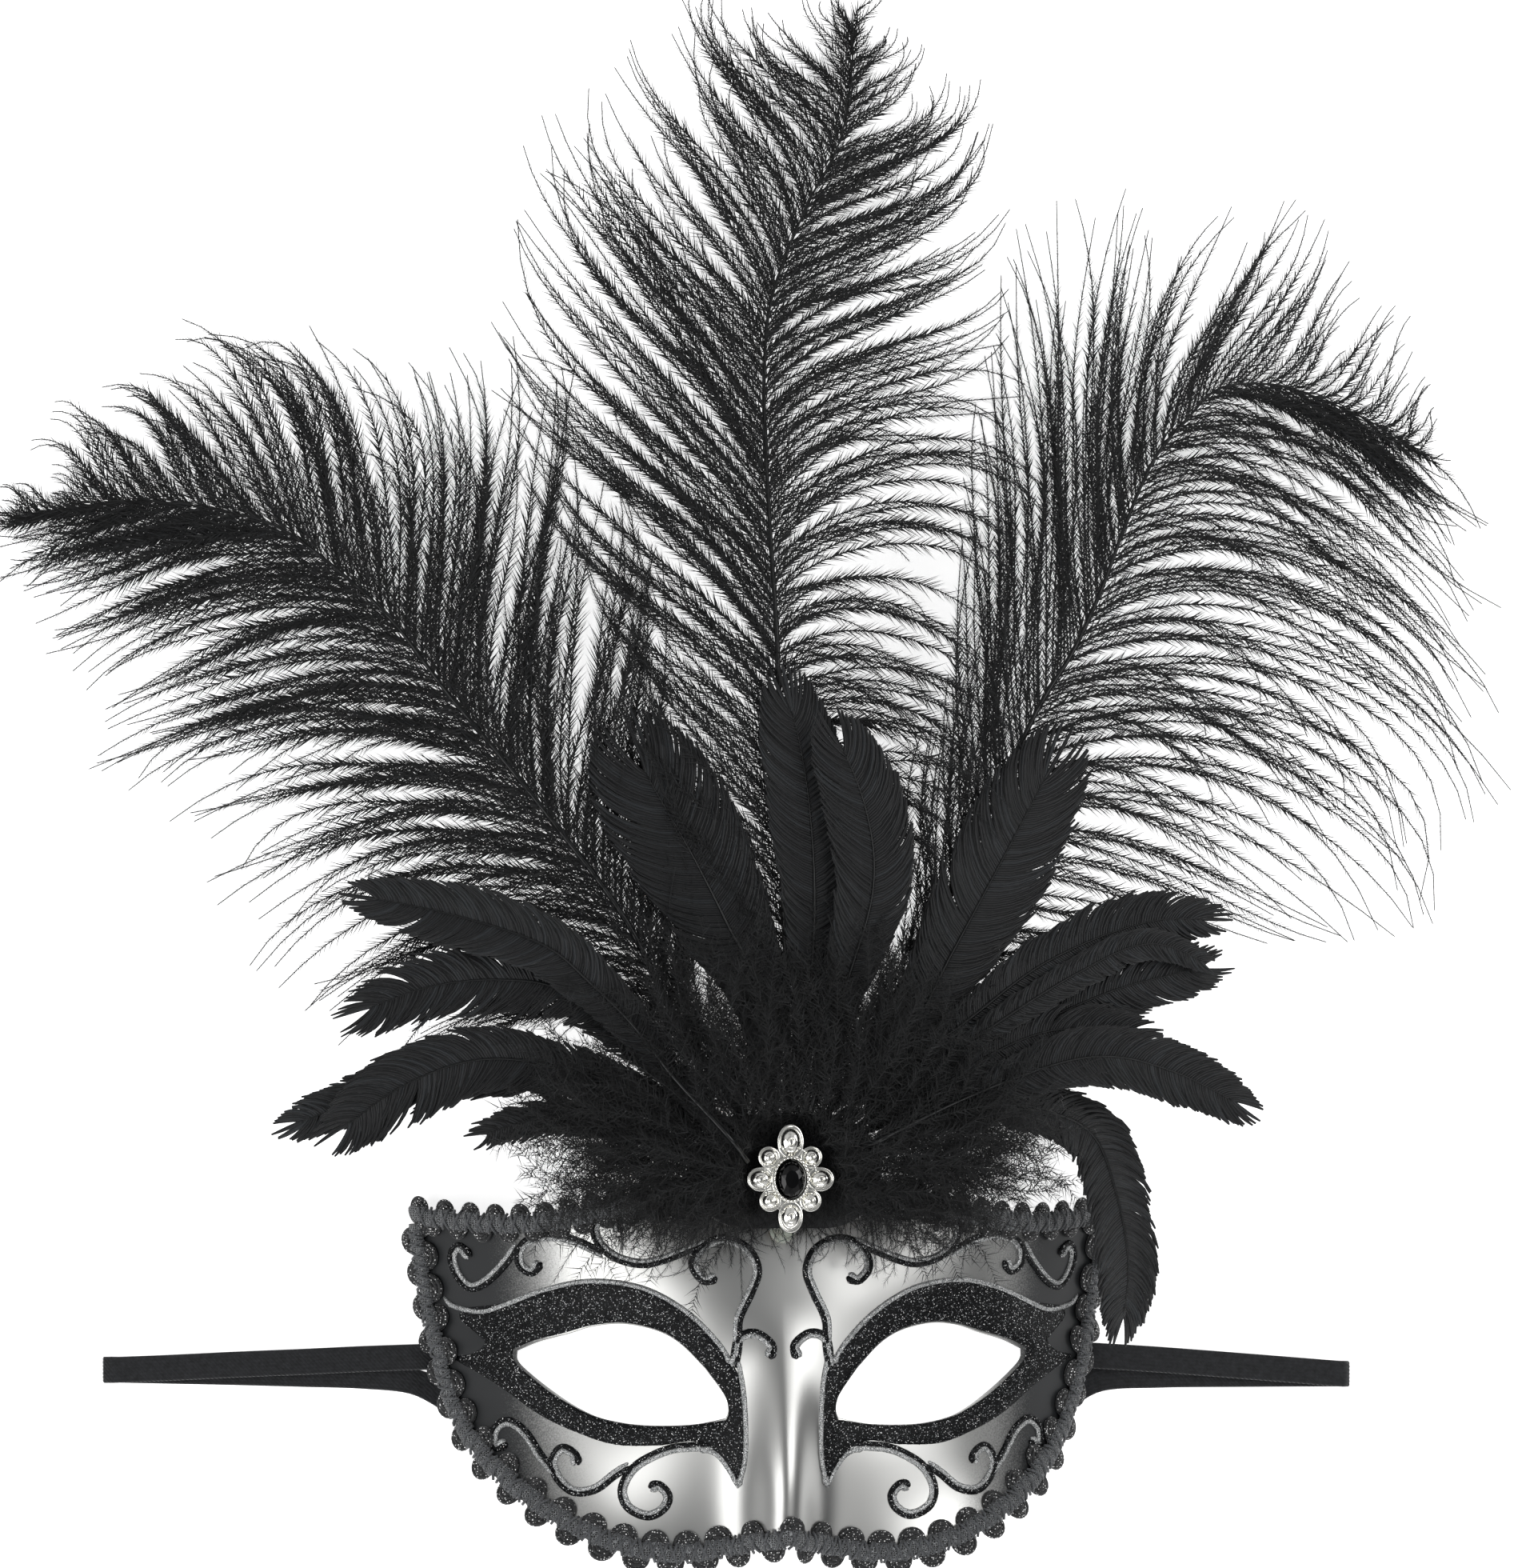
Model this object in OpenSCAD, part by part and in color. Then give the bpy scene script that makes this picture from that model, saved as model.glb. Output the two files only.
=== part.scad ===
// Venetian half mask with an ostrich-plume spray, lying on its back on a table.
// Millimetres. The origin is on the plane of the wearer's face, midway between the eyes.
// +X is the right-hand side seen from the front, +Y runs up the forehead towards the plumes,
// and +Z comes out of the front of the mask. The table is the plane Z = 0.

/* [Shell] */
// Height of the forehead above the table
crown_height = 44; // [38:1:46]
// Wall thickness of the moulded shell
shell_wall = 1.4; // [1:0.1:1.8]
// Height of the nose ridge above the cheeks
nose_height = 10; // [4:1:14]
// Depth of the eye sockets
socket_depth = 3; // [0:0.5:4]

/* [Painted lines] */
// Width of one glitter scroll line
scroll_w = 2.2; // [1.4:0.1:2.4]
// Height of the glitter above the shell
glitter_t = 0.5; // [0.3:0.05:0.6]

/* [Braid] */
// Width of the gimp braid
braid_w = 7; // [5:0.5:7.5]
// Thickness of the gimp braid
braid_t = 2; // [1.4:0.1:2.2]

/* [Elastic band] */
// Width of the flat elastic
band_w = 6; // [4:0.5:6]
// Thickness of the flat elastic
band_t = 0.8; // [0.6:0.1:0.9]

/* [Brooch] */
// Radius of a round boss on the brooch
boss_r = 2.1; // [1.6:0.1:2.3]
// Length of the oval stone, along Y
stone_l = 8; // [6:0.5:8.5]
// Width of the oval stone, along X
stone_w = 6; // [4.5:0.5:6.5]

/* [Feathers] */
// Thickness of a flat feather's vane
vane_t = 0.7; // [0.5:0.1:0.8]
// Distance between two layers of feathers
layer_gap = 1.1; // [1:0.05:1.2]

/* [Hidden] */

// ---- Curves ----
function mix(a, b, t) = a + (b - a) * t;
function smooth(a, b, v) = let (t = min(1, max(0, (v - a) / (b - a)))) t * t * (3 - 2 * t);
function bell(v, w) = exp(-(v / w) * (v / w));
function unit(v) = v / norm(v);
function mirror_x(points) = [for (p = points) [-p.x, p.y]];
function backwards(points) = [for (i = [len(points) - 1 : -1 : 0]) points[i]];

// A smooth curve through a, b, c and d, from b to c
function span(a, b, c, d, t) =
    (2 * b + (c - a) * t + (2 * a - 5 * b + 4 * c - d) * t * t + (3 * b - a - 3 * c + d) * t * t * t) / 2;

// The point at share s, from 0 to 1, of a smooth curve through a list of points
function along(points, s) =
    let (n = len(points) - 1, k = min(n - 1, floor(s * n)))
    span(points[max(0, k - 1)], points[k], points[k + 1], points[min(n, k + 2)], s * n - k);

function sample_open(points, n) = [for (i = [0 : n - 1]) along(points, i / n)];
function heading(points, s) = unit(along(points, min(1, s + 0.01)) - along(points, max(0, s - 0.01)));

// ---- The shell's front surface ----
// Height of the temple edge: the band passes under it below the corner
function rim_z(y) = 4 + 4.5 * (1 - smooth(4, 14, y)) + 0.02 * pow(max(0, -5 - y), 2);
function side_x(y) = 80 - 0.19 * (38 - y);
function crown_z(y) = crown_height - 0.002 * (y - 5) * (y - 5);
function nose_z(x, y) = nose_height * bell(x, 8) * (1 - smooth(-30, 18, y));
function socket_z(x, y) = socket_depth * bell(abs(x) - 36, 22) * bell(y, 13);
function front_z(x, y) =
    rim_z(y) + (crown_z(y) - rim_z(y)) * (1 - pow(abs(x) / side_x(y), 2.3))
    + nose_z(x, y) - socket_z(x, y);
function front_normal(p) =
    unit([front_z(p.x - 0.5, p.y) - front_z(p.x + 0.5, p.y),
          front_z(p.x, p.y - 0.5) - front_z(p.x, p.y + 0.5), 1]);
// The point of the front surface over p, moved h along the surface's normal
function lift(p, h) = [p.x, p.y, front_z(p.x, p.y)] + h * front_normal(p);

// Outlines of the right half: each eye curve runs beside the edge curve of the same name
TOP_EDGE = [[0, 41.5], [20, 41.5], [37, 39.7], [50, 36.5], [64, 35.6], [81, 37.5]];
SIDE_EDGE = [[81, 37.5], [79.2, 28], [76.2, 10], [72.6, -5.5], [66.5, -18.5], [55.5, -30],
             [41, -38.4], [25, -41.7], [10, -39.7], [0, -37.8]];
NOSE_LINE = [[0, -37.8], [0, -11], [0, 41.5]];
EYE_TOP = [[17.7, 1.7], [23.3, 7.4], [28.8, 10.4], [36, 11.8], [42.5, 11.1], [48, 9.4],
           [54.5, 7.6], [59.2, 5.4]];
EYE_LOW = [[59.2, 5.4], [59, 2.8], [56.3, 0], [50.8, -4.3], [45.2, -7.8], [39.8, -10],
           [31.5, -11.3], [20.6, -11.1], [13.1, -9.6]];
EYE_NOSE = [[13.1, -9.6], [12.5, -7.6], [13.4, -4.3], [17.7, 1.7]];
GLITTER_TOP = [[12.5, 5], [21, 14.4], [29.3, 19.4], [37.5, 21.5], [45.5, 21.5], [53.7, 19.4],
               [61, 15.8], [69, 15.5]];
GLITTER_LOW = [[69, 15.5], [68, 4], [61.5, -3.5], [53.7, -9.4], [45.5, -13.4], [37.5, -15.9],
               [28, -16], [18.2, -15.5], [10.1, -24.7]];
GLITTER_NOSE = [[10.1, -24.7], [8.5, -20], [8.8, -4], [12.5, 5]];

TOP_STEPS = 18;
SIDE_STEPS = 30;
NOSE_STEPS = 14;
RING = TOP_STEPS + SIDE_STEPS + NOSE_STEPS;
function ring_of(top, side, nose) =
    concat(sample_open(top, TOP_STEPS), sample_open(side, SIDE_STEPS), sample_open(nose, NOSE_STEPS));
EYE_RING = ring_of(EYE_TOP, EYE_LOW, EYE_NOSE);
EDGE_RING = ring_of(TOP_EDGE, SIDE_EDGE, NOSE_LINE);
GLITTER_RING = ring_of(GLITTER_TOP, GLITTER_LOW, GLITTER_NOSE);

// ---- Solids made of rings ----
// A closed solid through rows of points, each row one closed ring, turning from left through up
module loft(rows) {
    n = len(rows[0]);
    last = len(rows) - 1;
    points = [for (row = rows) each row];
    sides = [for (k = [0 : last - 1], i = [0 : n - 1])
        let (a = k * n + i, b = k * n + (i + 1) % n)
        each [[a, a + n, b + n], [a, b + n, b]]];
    caps = [for (i = [1 : n - 2])
        each [[0, i, i + 1], [last * n, last * n + i + 1, last * n + i]]];
    polyhedron(points = points, faces = concat(sides, caps), convexity = 6);
}

// A flat oval section of width w and thickness t, with n points, about centre c
function oval_ring(c, left, up, w, t, n) =
    [for (i = [0 : n - 1]) let (a = 360 * i / n) c + left * cos(a) * w / 2 + up * sin(a) * t / 2];

// A line of paint or braid of width w and thickness t, lying on the shell along a path of [x, y]
module surface_line(path, w, t, steps, sides, gap = 0.15) {
    rows = [for (k = [0 : steps])
        let (s = k / steps, p = along(path, s), d = heading(path, s), up = front_normal(p),
             forward = unit([d.x, d.y, 0] - up * ([d.x, d.y, 0] * up)))
        oval_ring(lift(p, gap + t / 2), cross(up, forward), up, w, t, sides)];
    loft(rows);
}

// A closed skin on the shell between two rings of [x, y], from height low to height high
module ring_skin(inner, outer, steps, low, high, side) {
    n = len(inner);
    layer = n * (steps + 1);
    points = [for (h = [high, low], j = [0 : steps], i = [0 : n - 1])
        let (p = mix(inner[i], outer[i], j / steps)) lift([side * p.x, p.y], h)];
    quads = concat(
        [for (j = [0 : steps - 1], i = [0 : n - 1])
            let (a = j * n + i, b = j * n + (i + 1) % n)
            each [[a, a + n, b + n, b], [b + layer, b + n + layer, a + n + layer, a + layer]]],
        [for (i = [0 : n - 1])
            let (b = (i + 1) % n, o = steps * n)
            each [[i, b, b + layer, i + layer], [o + b, o + i, o + i + layer, o + b + layer]]]);
    faces = [for (q = quads) each [[q[0], q[1], q[2]], [q[0], q[2], q[3]]]];
    polyhedron(points = points, faces = [for (f = faces) side > 0 ? f : backwards(f)], convexity = 8);
}

// ---- Shell ----
SHELL_STEPS = 8;
function on_nose(i) = i == 0 || i >= TOP_STEPS + SIDE_STEPS;
// Both halves share the points of the nose line. s is 0 on the right and 1 on the left
function shell_point(s, h, j, i) =
    let (half = s == 1 && j == SHELL_STEPS && on_nose(i) ? 0 : s)
    ((half * 2 + h) * (SHELL_STEPS + 1) + j) * RING + i;

module mask_shell() {
    points = [for (s = [1, -1], h = [0, -shell_wall], j = [0 : SHELL_STEPS], i = [0 : RING - 1])
        let (p = mix(EYE_RING[i], EDGE_RING[i], j / SHELL_STEPS)) lift([s * p.x, p.y], h)];
    quads = [for (s = [0, 1], i = [0 : RING - 1])
        let (n = (i + 1) % RING, open_edge = !(on_nose(i) && on_nose(n)), m = SHELL_STEPS,
             front = [for (j = [0 : m - 1]) [shell_point(s, 0, j, i), shell_point(s, 0, j + 1, i),
                                             shell_point(s, 0, j + 1, n), shell_point(s, 0, j, n)]],
             back = [for (j = [0 : m - 1]) [shell_point(s, 1, j, n), shell_point(s, 1, j + 1, n),
                                            shell_point(s, 1, j + 1, i), shell_point(s, 1, j, i)]],
             eye = [[shell_point(s, 0, 0, i), shell_point(s, 0, 0, n),
                     shell_point(s, 1, 0, n), shell_point(s, 1, 0, i)]],
             edge = [[shell_point(s, 0, m, n), shell_point(s, 0, m, i),
                      shell_point(s, 1, m, i), shell_point(s, 1, m, n)]])
        each [for (q = concat(front, back, eye, open_edge ? edge : [])) s == 0 ? q : backwards(q)]];
    color("silver")
        polyhedron(points = points,
                   faces = [for (q = quads) each [[q[0], q[1], q[2]], [q[0], q[2], q[3]]]],
                   convexity = 10);
}

// ---- Glitter ----
module glitter_eye(side) {
    inner = [for (i = [0 : RING - 1]) mix(EYE_RING[i], GLITTER_RING[i], 0.08)];
    outer = GLITTER_RING;
    color("#26282A") ring_skin(inner, outer, 3, 0.35, 0.35 + glitter_t, side);
}

// Scroll lines of the right half, each from its root to the middle of its curl
BROW_SCROLLS = [
    [[9.8, 10], [10, 13], [7.5, 19], [6, 24], [7.5, 28.5], [11.5, 31], [15.5, 31], [19, 28.5],
     [20, 25], [18, 22], [15, 23]],
    [[22.5, 28.5], [27, 27], [32, 26], [37.5, 27], [40.5, 30]],
    [[44.5, 30], [50, 31.2], [55, 31], [58, 29], [58, 25.5], [55.8, 23.5], [54, 25.5]],
    [[61, 27], [62.5, 24], [65.5, 21.5], [68.5, 20], [71, 22.5], [72, 26], [70.5, 28.5], [68.5, 26]],
    [[6.2, 9.4], [4.2, 8.8], [2.6, 6.8], [3.6, 4.4]]];
CHEEK_SCROLLS = [
    [[27, -19], [30, -19.5], [33.7, -21.8], [36, -26], [35, -30], [30.5, -32], [27, -30.3],
     [26, -27.5], [28.4, -25]],
    [[38, -23], [42, -26], [46.5, -26.6], [49.7, -24.1], [51, -20.2], [49.2, -17.2], [46.5, -18.7]],
    [[54.5, -18], [57, -13.5], [60.6, -11.3], [63.2, -13.3], [63, -16.6]]];

module scrolls(lines, side) {
    color("#4A4C4E")
        for (line = lines)
            surface_line(side > 0 ? line : mirror_x(line), scroll_w, glitter_t + 0.2,
                         3 * (len(line) - 1), 6);
}

// ---- Braid: two runs of gimp on the edge, 1 mm inside the outline ----
BRAID_INSET = 0.035;
function braid_run(edge, eye, from, n) =
    [for (k = [0 : n]) let (s = mix(from, 1, k / n)) mix(along(edge, s), along(eye, s), BRAID_INSET)];

module braid_top() {
    half = braid_run(TOP_EDGE, EYE_TOP, 0, 10);
    path = concat(backwards(mirror_x(half)), [for (k = [1 : 10]) half[k]]);
    color("#333537") surface_line(path, braid_w, braid_t, 48, 8, 0.3);
}

module braid_lower() {
    half = braid_run(SIDE_EDGE, EYE_LOW, 0.085, 14);
    path = concat(half, [for (k = [13 : -1 : 0]) [-half[k].x, half[k].y]]);
    color("#333537") surface_line(path, braid_w, braid_t, 72, 8, 0.3);
}

// ---- Elastic band: one flat strip from temple to temple, folded flat at each side ----
BAND_ROUTE = [
    [-67, 3.8, 11], [-72, 3.6, 5.2], [-79, 3.4, 3.8], [-92, 3, 3.4], [-106, 2.4, 3.2],
    [-122, 1.8, 3], [-138, 1.1, 2.9], [-150, 0.7, 2.8], [-152.2, 0.7, 2.2], [-152.5, 0.7, 1.6],
    [-152.2, 0.7, 1], [-150, 0.7, 0.5], [-138, 0.4, 0.5], [-122, 0, 0.5], [-106, -0.5, 0.5],
    [-92, -1, 0.5], [-80, -2.4, 0.5], [-71, -7, 0.5], [-62, -11.5, 0.5], [-50, -15, 0.5],
    [-38, -17, 0.5], [-20, -18, 0.5], [0, -18, 0.5], [20, -18, 0.5], [38, -17, 0.5],
    [50, -15, 0.5], [62, -11.5, 0.5], [71, -7, 0.5], [80, -2.4, 0.5], [94, -1.6, 0.5],
    [114, -1.5, 0.5], [135.7, -1.5, 0.5], [138, -1.5, 1], [138.3, -1.5, 1.6], [138, -1.5, 2.2],
    [135.7, -1.4, 2.8], [114, 0.4, 3], [94, 2, 3.3], [79, 3, 3.8], [72, 3.4, 5.2], [67, 3.8, 11]];

// The strip keeps its width in the plane of the table: its folds turn about Y
module elastic_band() {
    last = len(BAND_ROUTE) - 1;
    rows = [for (k = [0 : last])
        let (d = unit(BAND_ROUTE[min(last, k + 1)] - BAND_ROUTE[max(0, k - 1)]),
             left = unit([0, 1, 0] - d * d.y))
        oval_ring(BAND_ROUTE[k], left, cross(d, left), band_w, band_t, 8)];
    color("#1B1C1E") loft(rows);
}

// Felt patch under each end of the band, which holds it to the inside of the shell
PATCH_LOW = -4.5;
PATCH_HIGH = -3.7;
module band_patch(side) {
    rows = [for (k = [0 : 4])
        [for (corner = [[8.8, PATCH_LOW], [8.8, PATCH_HIGH], [-1.2, PATCH_HIGH], [-1.2, PATCH_LOW]])
            lift([side * mix(71.5, 65, k / 4), corner[0]], corner[1])]];
    color("#2A2B2C") loft(side > 0 ? rows : backwards(rows));
}

// ---- Feather pad, glue and brooch ----
PIVOT = [0, 48];
BROOCH = [0, 45];
PAD_LOW = 44.6;
PAD_TOP = 49.5;
PLATE_LOW = 56;
PLATE_T = 1.4;

module stadium(w, h) {
    r = min(w, h) / 2;
    for (s = [-1, 1]) translate([s * (w / 2 - r), s * (h / 2 - r)]) circle(r, $fn = 32);
    square([max(w - 2 * r, 0.01), h - (w > h ? 0 : 2 * r)], center = true);
    square([w - (h > w ? 0 : 2 * r), max(h - 2 * r, 0.01)], center = true);
}

module feather_pad() {
    color("#1E1F20") translate([0, 47, PAD_LOW]) linear_extrude(PAD_TOP - PAD_LOW) stadium(44, 26);
}

// Hot glue between the pad and the forehead, just inside the braid
GLUE_Y = 33.5;
module pad_glue() {
    low = front_z(0, GLUE_Y - 3) + 0.2;
    color("#C9C6BC") translate([0, GLUE_Y, low]) cylinder(h = PAD_LOW - low, r = 3, $fn = 32);
}

module brooch_glue() {
    color("#C9C6BC") translate([BROOCH.x, BROOCH.y, PAD_TOP])
        cylinder(h = PLATE_LOW - PAD_TOP, r = 5, $fn = 32);
}

// [x, y, width, height] of each boss about the brooch's centre
BOSSES = [[0, 9, 5.9, 7.4], [0, -8.5, 5.4, 6.8], [-6.9, 0, 5.9, 4.2], [6.9, 0, 5.9, 4.2],
          [-4.6, 5, 2 * boss_r, 2 * boss_r], [4.6, 5, 2 * boss_r, 2 * boss_r],
          [-4.6, -5, 2 * boss_r, 2 * boss_r], [4.6, -5, 2 * boss_r, 2 * boss_r]];

module brooch_setting() {
    color("#D8D9DA") translate([BROOCH.x, BROOCH.y, PLATE_LOW]) {
        linear_extrude(PLATE_T) {
            stadium(11, 14);
            for (b = BOSSES) translate([b[0], b[1]]) stadium(b[2], b[3]);
        }
        for (b = BOSSES)
            translate([b[0], b[1], PLATE_T - 0.2]) linear_extrude(1.3) stadium(b[2] - 1.1, b[3] - 1.1);
    }
}

module brooch_milgrain() {
    beads = 28;
    color("#E4E5E6")
        for (i = [0 : beads - 1])
            let (a = 360 * (i + 0.5) / beads)
            translate([BROOCH.x + (stone_w / 2 + 0.75) * cos(a), BROOCH.y + (stone_l / 2 + 0.75) * sin(a),
                       PLATE_LOW + PLATE_T + 1.7])
            sphere(0.4, $fn = 16);
}

// Faceted oval stone: [height above the plate, share of full size] of each ring
module brooch_stone() {
    levels = [[0.05, 0.5], [1.3, 0.97], [1.7, 0.97], [2.9, 0.55]];
    rows = [for (level = levels)
        [for (i = [0 : 11])
            let (a = 30 * i)
            [BROOCH.x + level[1] * stone_w / 2 * cos(a), BROOCH.y + level[1] * stone_l / 2 * sin(a),
             PLATE_LOW + PLATE_T + level[0]]]];
    color("#0B0B0C") loft(rows);
}

// ---- Feathers ----
// Every feather lies on one bowl-shaped droop around the pivot, each in its own layer,
// so that feathers never meet, even when a plume turns about the pivot
DROOP = 0.00071;
function layer_z(p, z) = z - DROOP * ((p.x - PIVOT.x) * (p.x - PIVOT.x) + (p.y - PIVOT.y) * (p.y - PIVOT.y));
function on_layer(p, z) = [p.x, p.y, layer_z(p, z)];

// An ostrich plume from stations of [quill x, y, left tip x, y, right tip x, y]
module plume(stations, z) {
    rows = [for (k = [0 : 24])
        let (v = along(stations, k / 24), c = [v[0], v[1]], l = [v[2], v[3]], r = [v[4], v[5]],
             ml = mix(c, l, 0.5), mr = mix(c, r, 0.5))
        [on_layer(l, z), on_layer(ml, z + 0.3), on_layer(c, z + 0.45), on_layer(mr, z + 0.3),
         on_layer(r, z), on_layer(mr, z - 0.3), on_layer(c, z - 0.45), on_layer(ml, z - 0.3)]];
    color("#202224") loft(rows);
}

PLUME_LEFT = [
    [-6, 55, -6.8, 54.4, -5.2, 55.6], [-24, 80, -30, 75, -17, 86], [-37, 105, -62, 84, -22, 128],
    [-52, 125, -92, 90, -30, 165], [-64, 141, -116, 112, -38, 196], [-76, 157, -135, 130, -56, 218],
    [-97, 182, -155, 150, -86, 226], [-118, 196, -169, 168, -116, 225],
    [-148, 200.5, -176, 184, -143, 218], [-168, 199, -180, 193, -164, 209],
    [-179, 197, -180, 196, -178, 198]];
PLUME_CENTRE = [
    [0, 58, -0.8, 58, 0.8, 58], [-1, 90, -14, 96, 12, 96], [-1, 120, -34, 140, 30, 132],
    [-1, 150, -50, 182, 44, 160], [-1, 180, -57, 218, 52, 192], [-2, 212, -58, 250, 51, 228],
    [-1, 244, -43, 284, 46, 262], [4, 262, -26, 300, 43, 284], [11, 280, -7, 310, 38, 300],
    [19, 300, 10, 314, 30, 311], [22, 317, 21, 317, 23, 317]];
PLUME_RIGHT = [
    [7, 56, 6.3, 56.5, 7.7, 55.5], [30, 96, 22, 104, 38, 90], [47, 128, 35, 150, 73, 110],
    [60, 152, 46, 190, 103, 118], [68, 166, 50, 214, 129, 128], [78, 187, 60, 238, 150, 140],
    [88, 211, 80, 254, 163, 156], [101, 224, 104, 258, 170, 172], [118, 228, 127, 250, 172, 190],
    [137, 222, 145, 234, 169, 202], [156, 212, 156, 213, 157, 211]];
PLUME_Z = [50.4, 51.5, 52.6];

// A flat feather: [name, path, greatest width, layer, droop of its tip past the layer]
BLADES = [
    ["blade_left_1", [[-10, 59], [-21, 68], [-33, 79], [-44, 89], [-56, 99], [-78, 106], [-103, 111]], 14, 7, 0],
    ["blade_left_2", [[-13, 57], [-33, 74], [-51, 88], [-66, 91], [-84, 89], [-104, 81]], 14, 4, 0],
    ["blade_left_3", [[-14, 54], [-36, 66], [-66, 73], [-88, 67], [-108, 52]], 14, 3, 0],
    ["blade_left_4", [[-14, 51], [-40, 65], [-72, 70], [-96, 64], [-118, 56]], 10, 1, 0],
    ["blade_left_5", [[-14, 49], [-34, 56], [-54, 60], [-75, 54]], 9, 5, 0],
    ["blade_centre_1", [[-4, 61], [-7, 88], [-14, 104], [-22, 120], [-31, 136], [-40, 152]], 29, 0, 0],
    ["blade_centre_2", [[1, 61], [5, 90], [6, 115], [4, 140], [-1, 163]], 19, 2, 0],
    ["blade_centre_3", [[4, 61], [12, 88], [19, 112], [17, 132], [8, 153]], 19, 6, 0],
    ["blade_right_1", [[8, 60], [26, 76], [38, 97], [52, 122], [67, 149]], 24, 1, 0],
    ["blade_right_2", [[10, 59], [39, 80], [60, 95], [84, 104], [104, 104]], 13, 3, 0],
    ["blade_right_3", [[12, 58], [40, 76], [66, 92], [84, 99], [100, 93]], 7, 5, 0],
    ["blade_right_4", [[13, 56], [44, 74], [72, 87], [90, 92], [104, 95]], 13, 2, 0],
    ["blade_right_5", [[14, 54], [36, 68], [60, 79], [87, 78]], 12, 4, 0],
    ["blade_right_6", [[14, 52], [40, 64], [68, 73], [88, 70], [110, 59]], 13.5, 7, 0],
    ["blade_right_7", [[14, 49], [36, 59], [56, 61], [71, 56], [78, 42], [82, 24], [81, 5]], 12, 0, 26]];
BLADE_Z = 53.9;

function blade_half(s, w) = 0.6 + (w / 2 - 0.6) * pow(sin(180 * pow(s, 1.35)), 0.7);

module blade(path, w, z, t, tip_droop) {
    steps = 14;
    rows = [for (k = [0 : steps])
        let (s = k / steps, p = along(path, s), d = heading(path, s), left = [-d.y, d.x],
             half = k == steps ? 0.6 : blade_half(s, w), low = z - tip_droop * s * s)
        [on_layer(p + left * half, low), on_layer(p + left * half / 2, low + t / 2),
         on_layer(p - left * half / 2, low + t / 2), on_layer(p - left * half, low),
         on_layer(p - left * half / 2, low - t / 2), on_layer(p + left * half / 2, low - t / 2)]];
    color("#26282A") loft(rows);
}

// Marabou down: [name, path, width, thickness, height of its middle]
DOWNS = [
    ["down_left", [[-13, 50], [-28, 55], [-44, 60], [-54, 60]], 26, 4, 64.6],
    ["down_right", [[13, 50], [26, 56], [38, 60], [48, 60]], 26, 4, 64.6],
    ["down_back", [[0, 60], [0, 68], [0, 76], [0, 86]], 30, 3, 64.4],
    ["down_front", [[-24, 35], [-8, 31], [8, 31], [24, 35]], 5, 1.6, 47]];

// ---- Build ----
mask_shell();
glitter_eye(-1);  // glitter_eye_left
glitter_eye(1);  // glitter_eye_right
scrolls(BROW_SCROLLS, -1);  // scrolls_brow_left
scrolls(BROW_SCROLLS, 1);  // scrolls_brow_right
scrolls(CHEEK_SCROLLS, -1);  // scrolls_cheek_left
scrolls(CHEEK_SCROLLS, 1);  // scrolls_cheek_right
braid_top();
braid_lower();
elastic_band();
band_patch(-1);  // band_patch_left
band_patch(1);  // band_patch_right
feather_pad();
pad_glue();
brooch_glue();
brooch_setting();
brooch_milgrain();
brooch_stone();
plume(PLUME_LEFT, PLUME_Z[0]);  // plume_left
plume(PLUME_CENTRE, PLUME_Z[2]);  // plume_centre
plume(PLUME_RIGHT, PLUME_Z[1]);  // plume_right
for (b = BLADES)
    blade(b[1], b[2], BLADE_Z + layer_gap * b[3], vane_t, b[4]);
for (d = DOWNS)
    blade(d[1], d[2], d[4], d[3], 0);
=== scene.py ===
# %% [markdown]
# # A Venetian half mask with a feather spray
# The mask lies on its back on a pale table. A moulded shell in silver lacquer carries glitter
# scrolls, a gimp braid edge, a plated brooch and a spray of ostrich plumes, flat feathers and
# marabou down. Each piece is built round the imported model, in the same frame and at real size.

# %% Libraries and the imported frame
import math
import bmesh
import bpy
import numpy as np
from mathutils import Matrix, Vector


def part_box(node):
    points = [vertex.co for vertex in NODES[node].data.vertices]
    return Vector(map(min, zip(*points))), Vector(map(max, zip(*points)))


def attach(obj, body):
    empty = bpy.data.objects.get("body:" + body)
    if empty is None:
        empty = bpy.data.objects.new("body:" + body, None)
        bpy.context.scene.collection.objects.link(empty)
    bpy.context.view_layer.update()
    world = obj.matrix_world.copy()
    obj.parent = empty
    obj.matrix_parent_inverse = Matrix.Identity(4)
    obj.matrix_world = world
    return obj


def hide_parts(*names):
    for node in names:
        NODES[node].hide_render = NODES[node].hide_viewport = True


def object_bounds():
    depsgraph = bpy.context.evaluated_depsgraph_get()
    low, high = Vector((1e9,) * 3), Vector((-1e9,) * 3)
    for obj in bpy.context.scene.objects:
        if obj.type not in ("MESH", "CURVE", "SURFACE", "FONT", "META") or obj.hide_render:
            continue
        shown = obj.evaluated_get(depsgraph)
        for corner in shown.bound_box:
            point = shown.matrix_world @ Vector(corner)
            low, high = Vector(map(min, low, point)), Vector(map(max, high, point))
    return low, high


MM = 0.001
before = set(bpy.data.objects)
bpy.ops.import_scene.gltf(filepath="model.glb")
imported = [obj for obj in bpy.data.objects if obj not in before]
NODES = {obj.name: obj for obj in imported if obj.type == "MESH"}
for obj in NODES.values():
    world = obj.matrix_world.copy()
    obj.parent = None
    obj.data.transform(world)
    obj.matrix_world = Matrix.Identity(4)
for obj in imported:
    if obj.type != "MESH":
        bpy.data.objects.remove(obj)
cad_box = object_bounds()
TABLE_Z = cad_box[0].z
print("table at", round(TABLE_Z / MM, 2), "mm")

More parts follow.
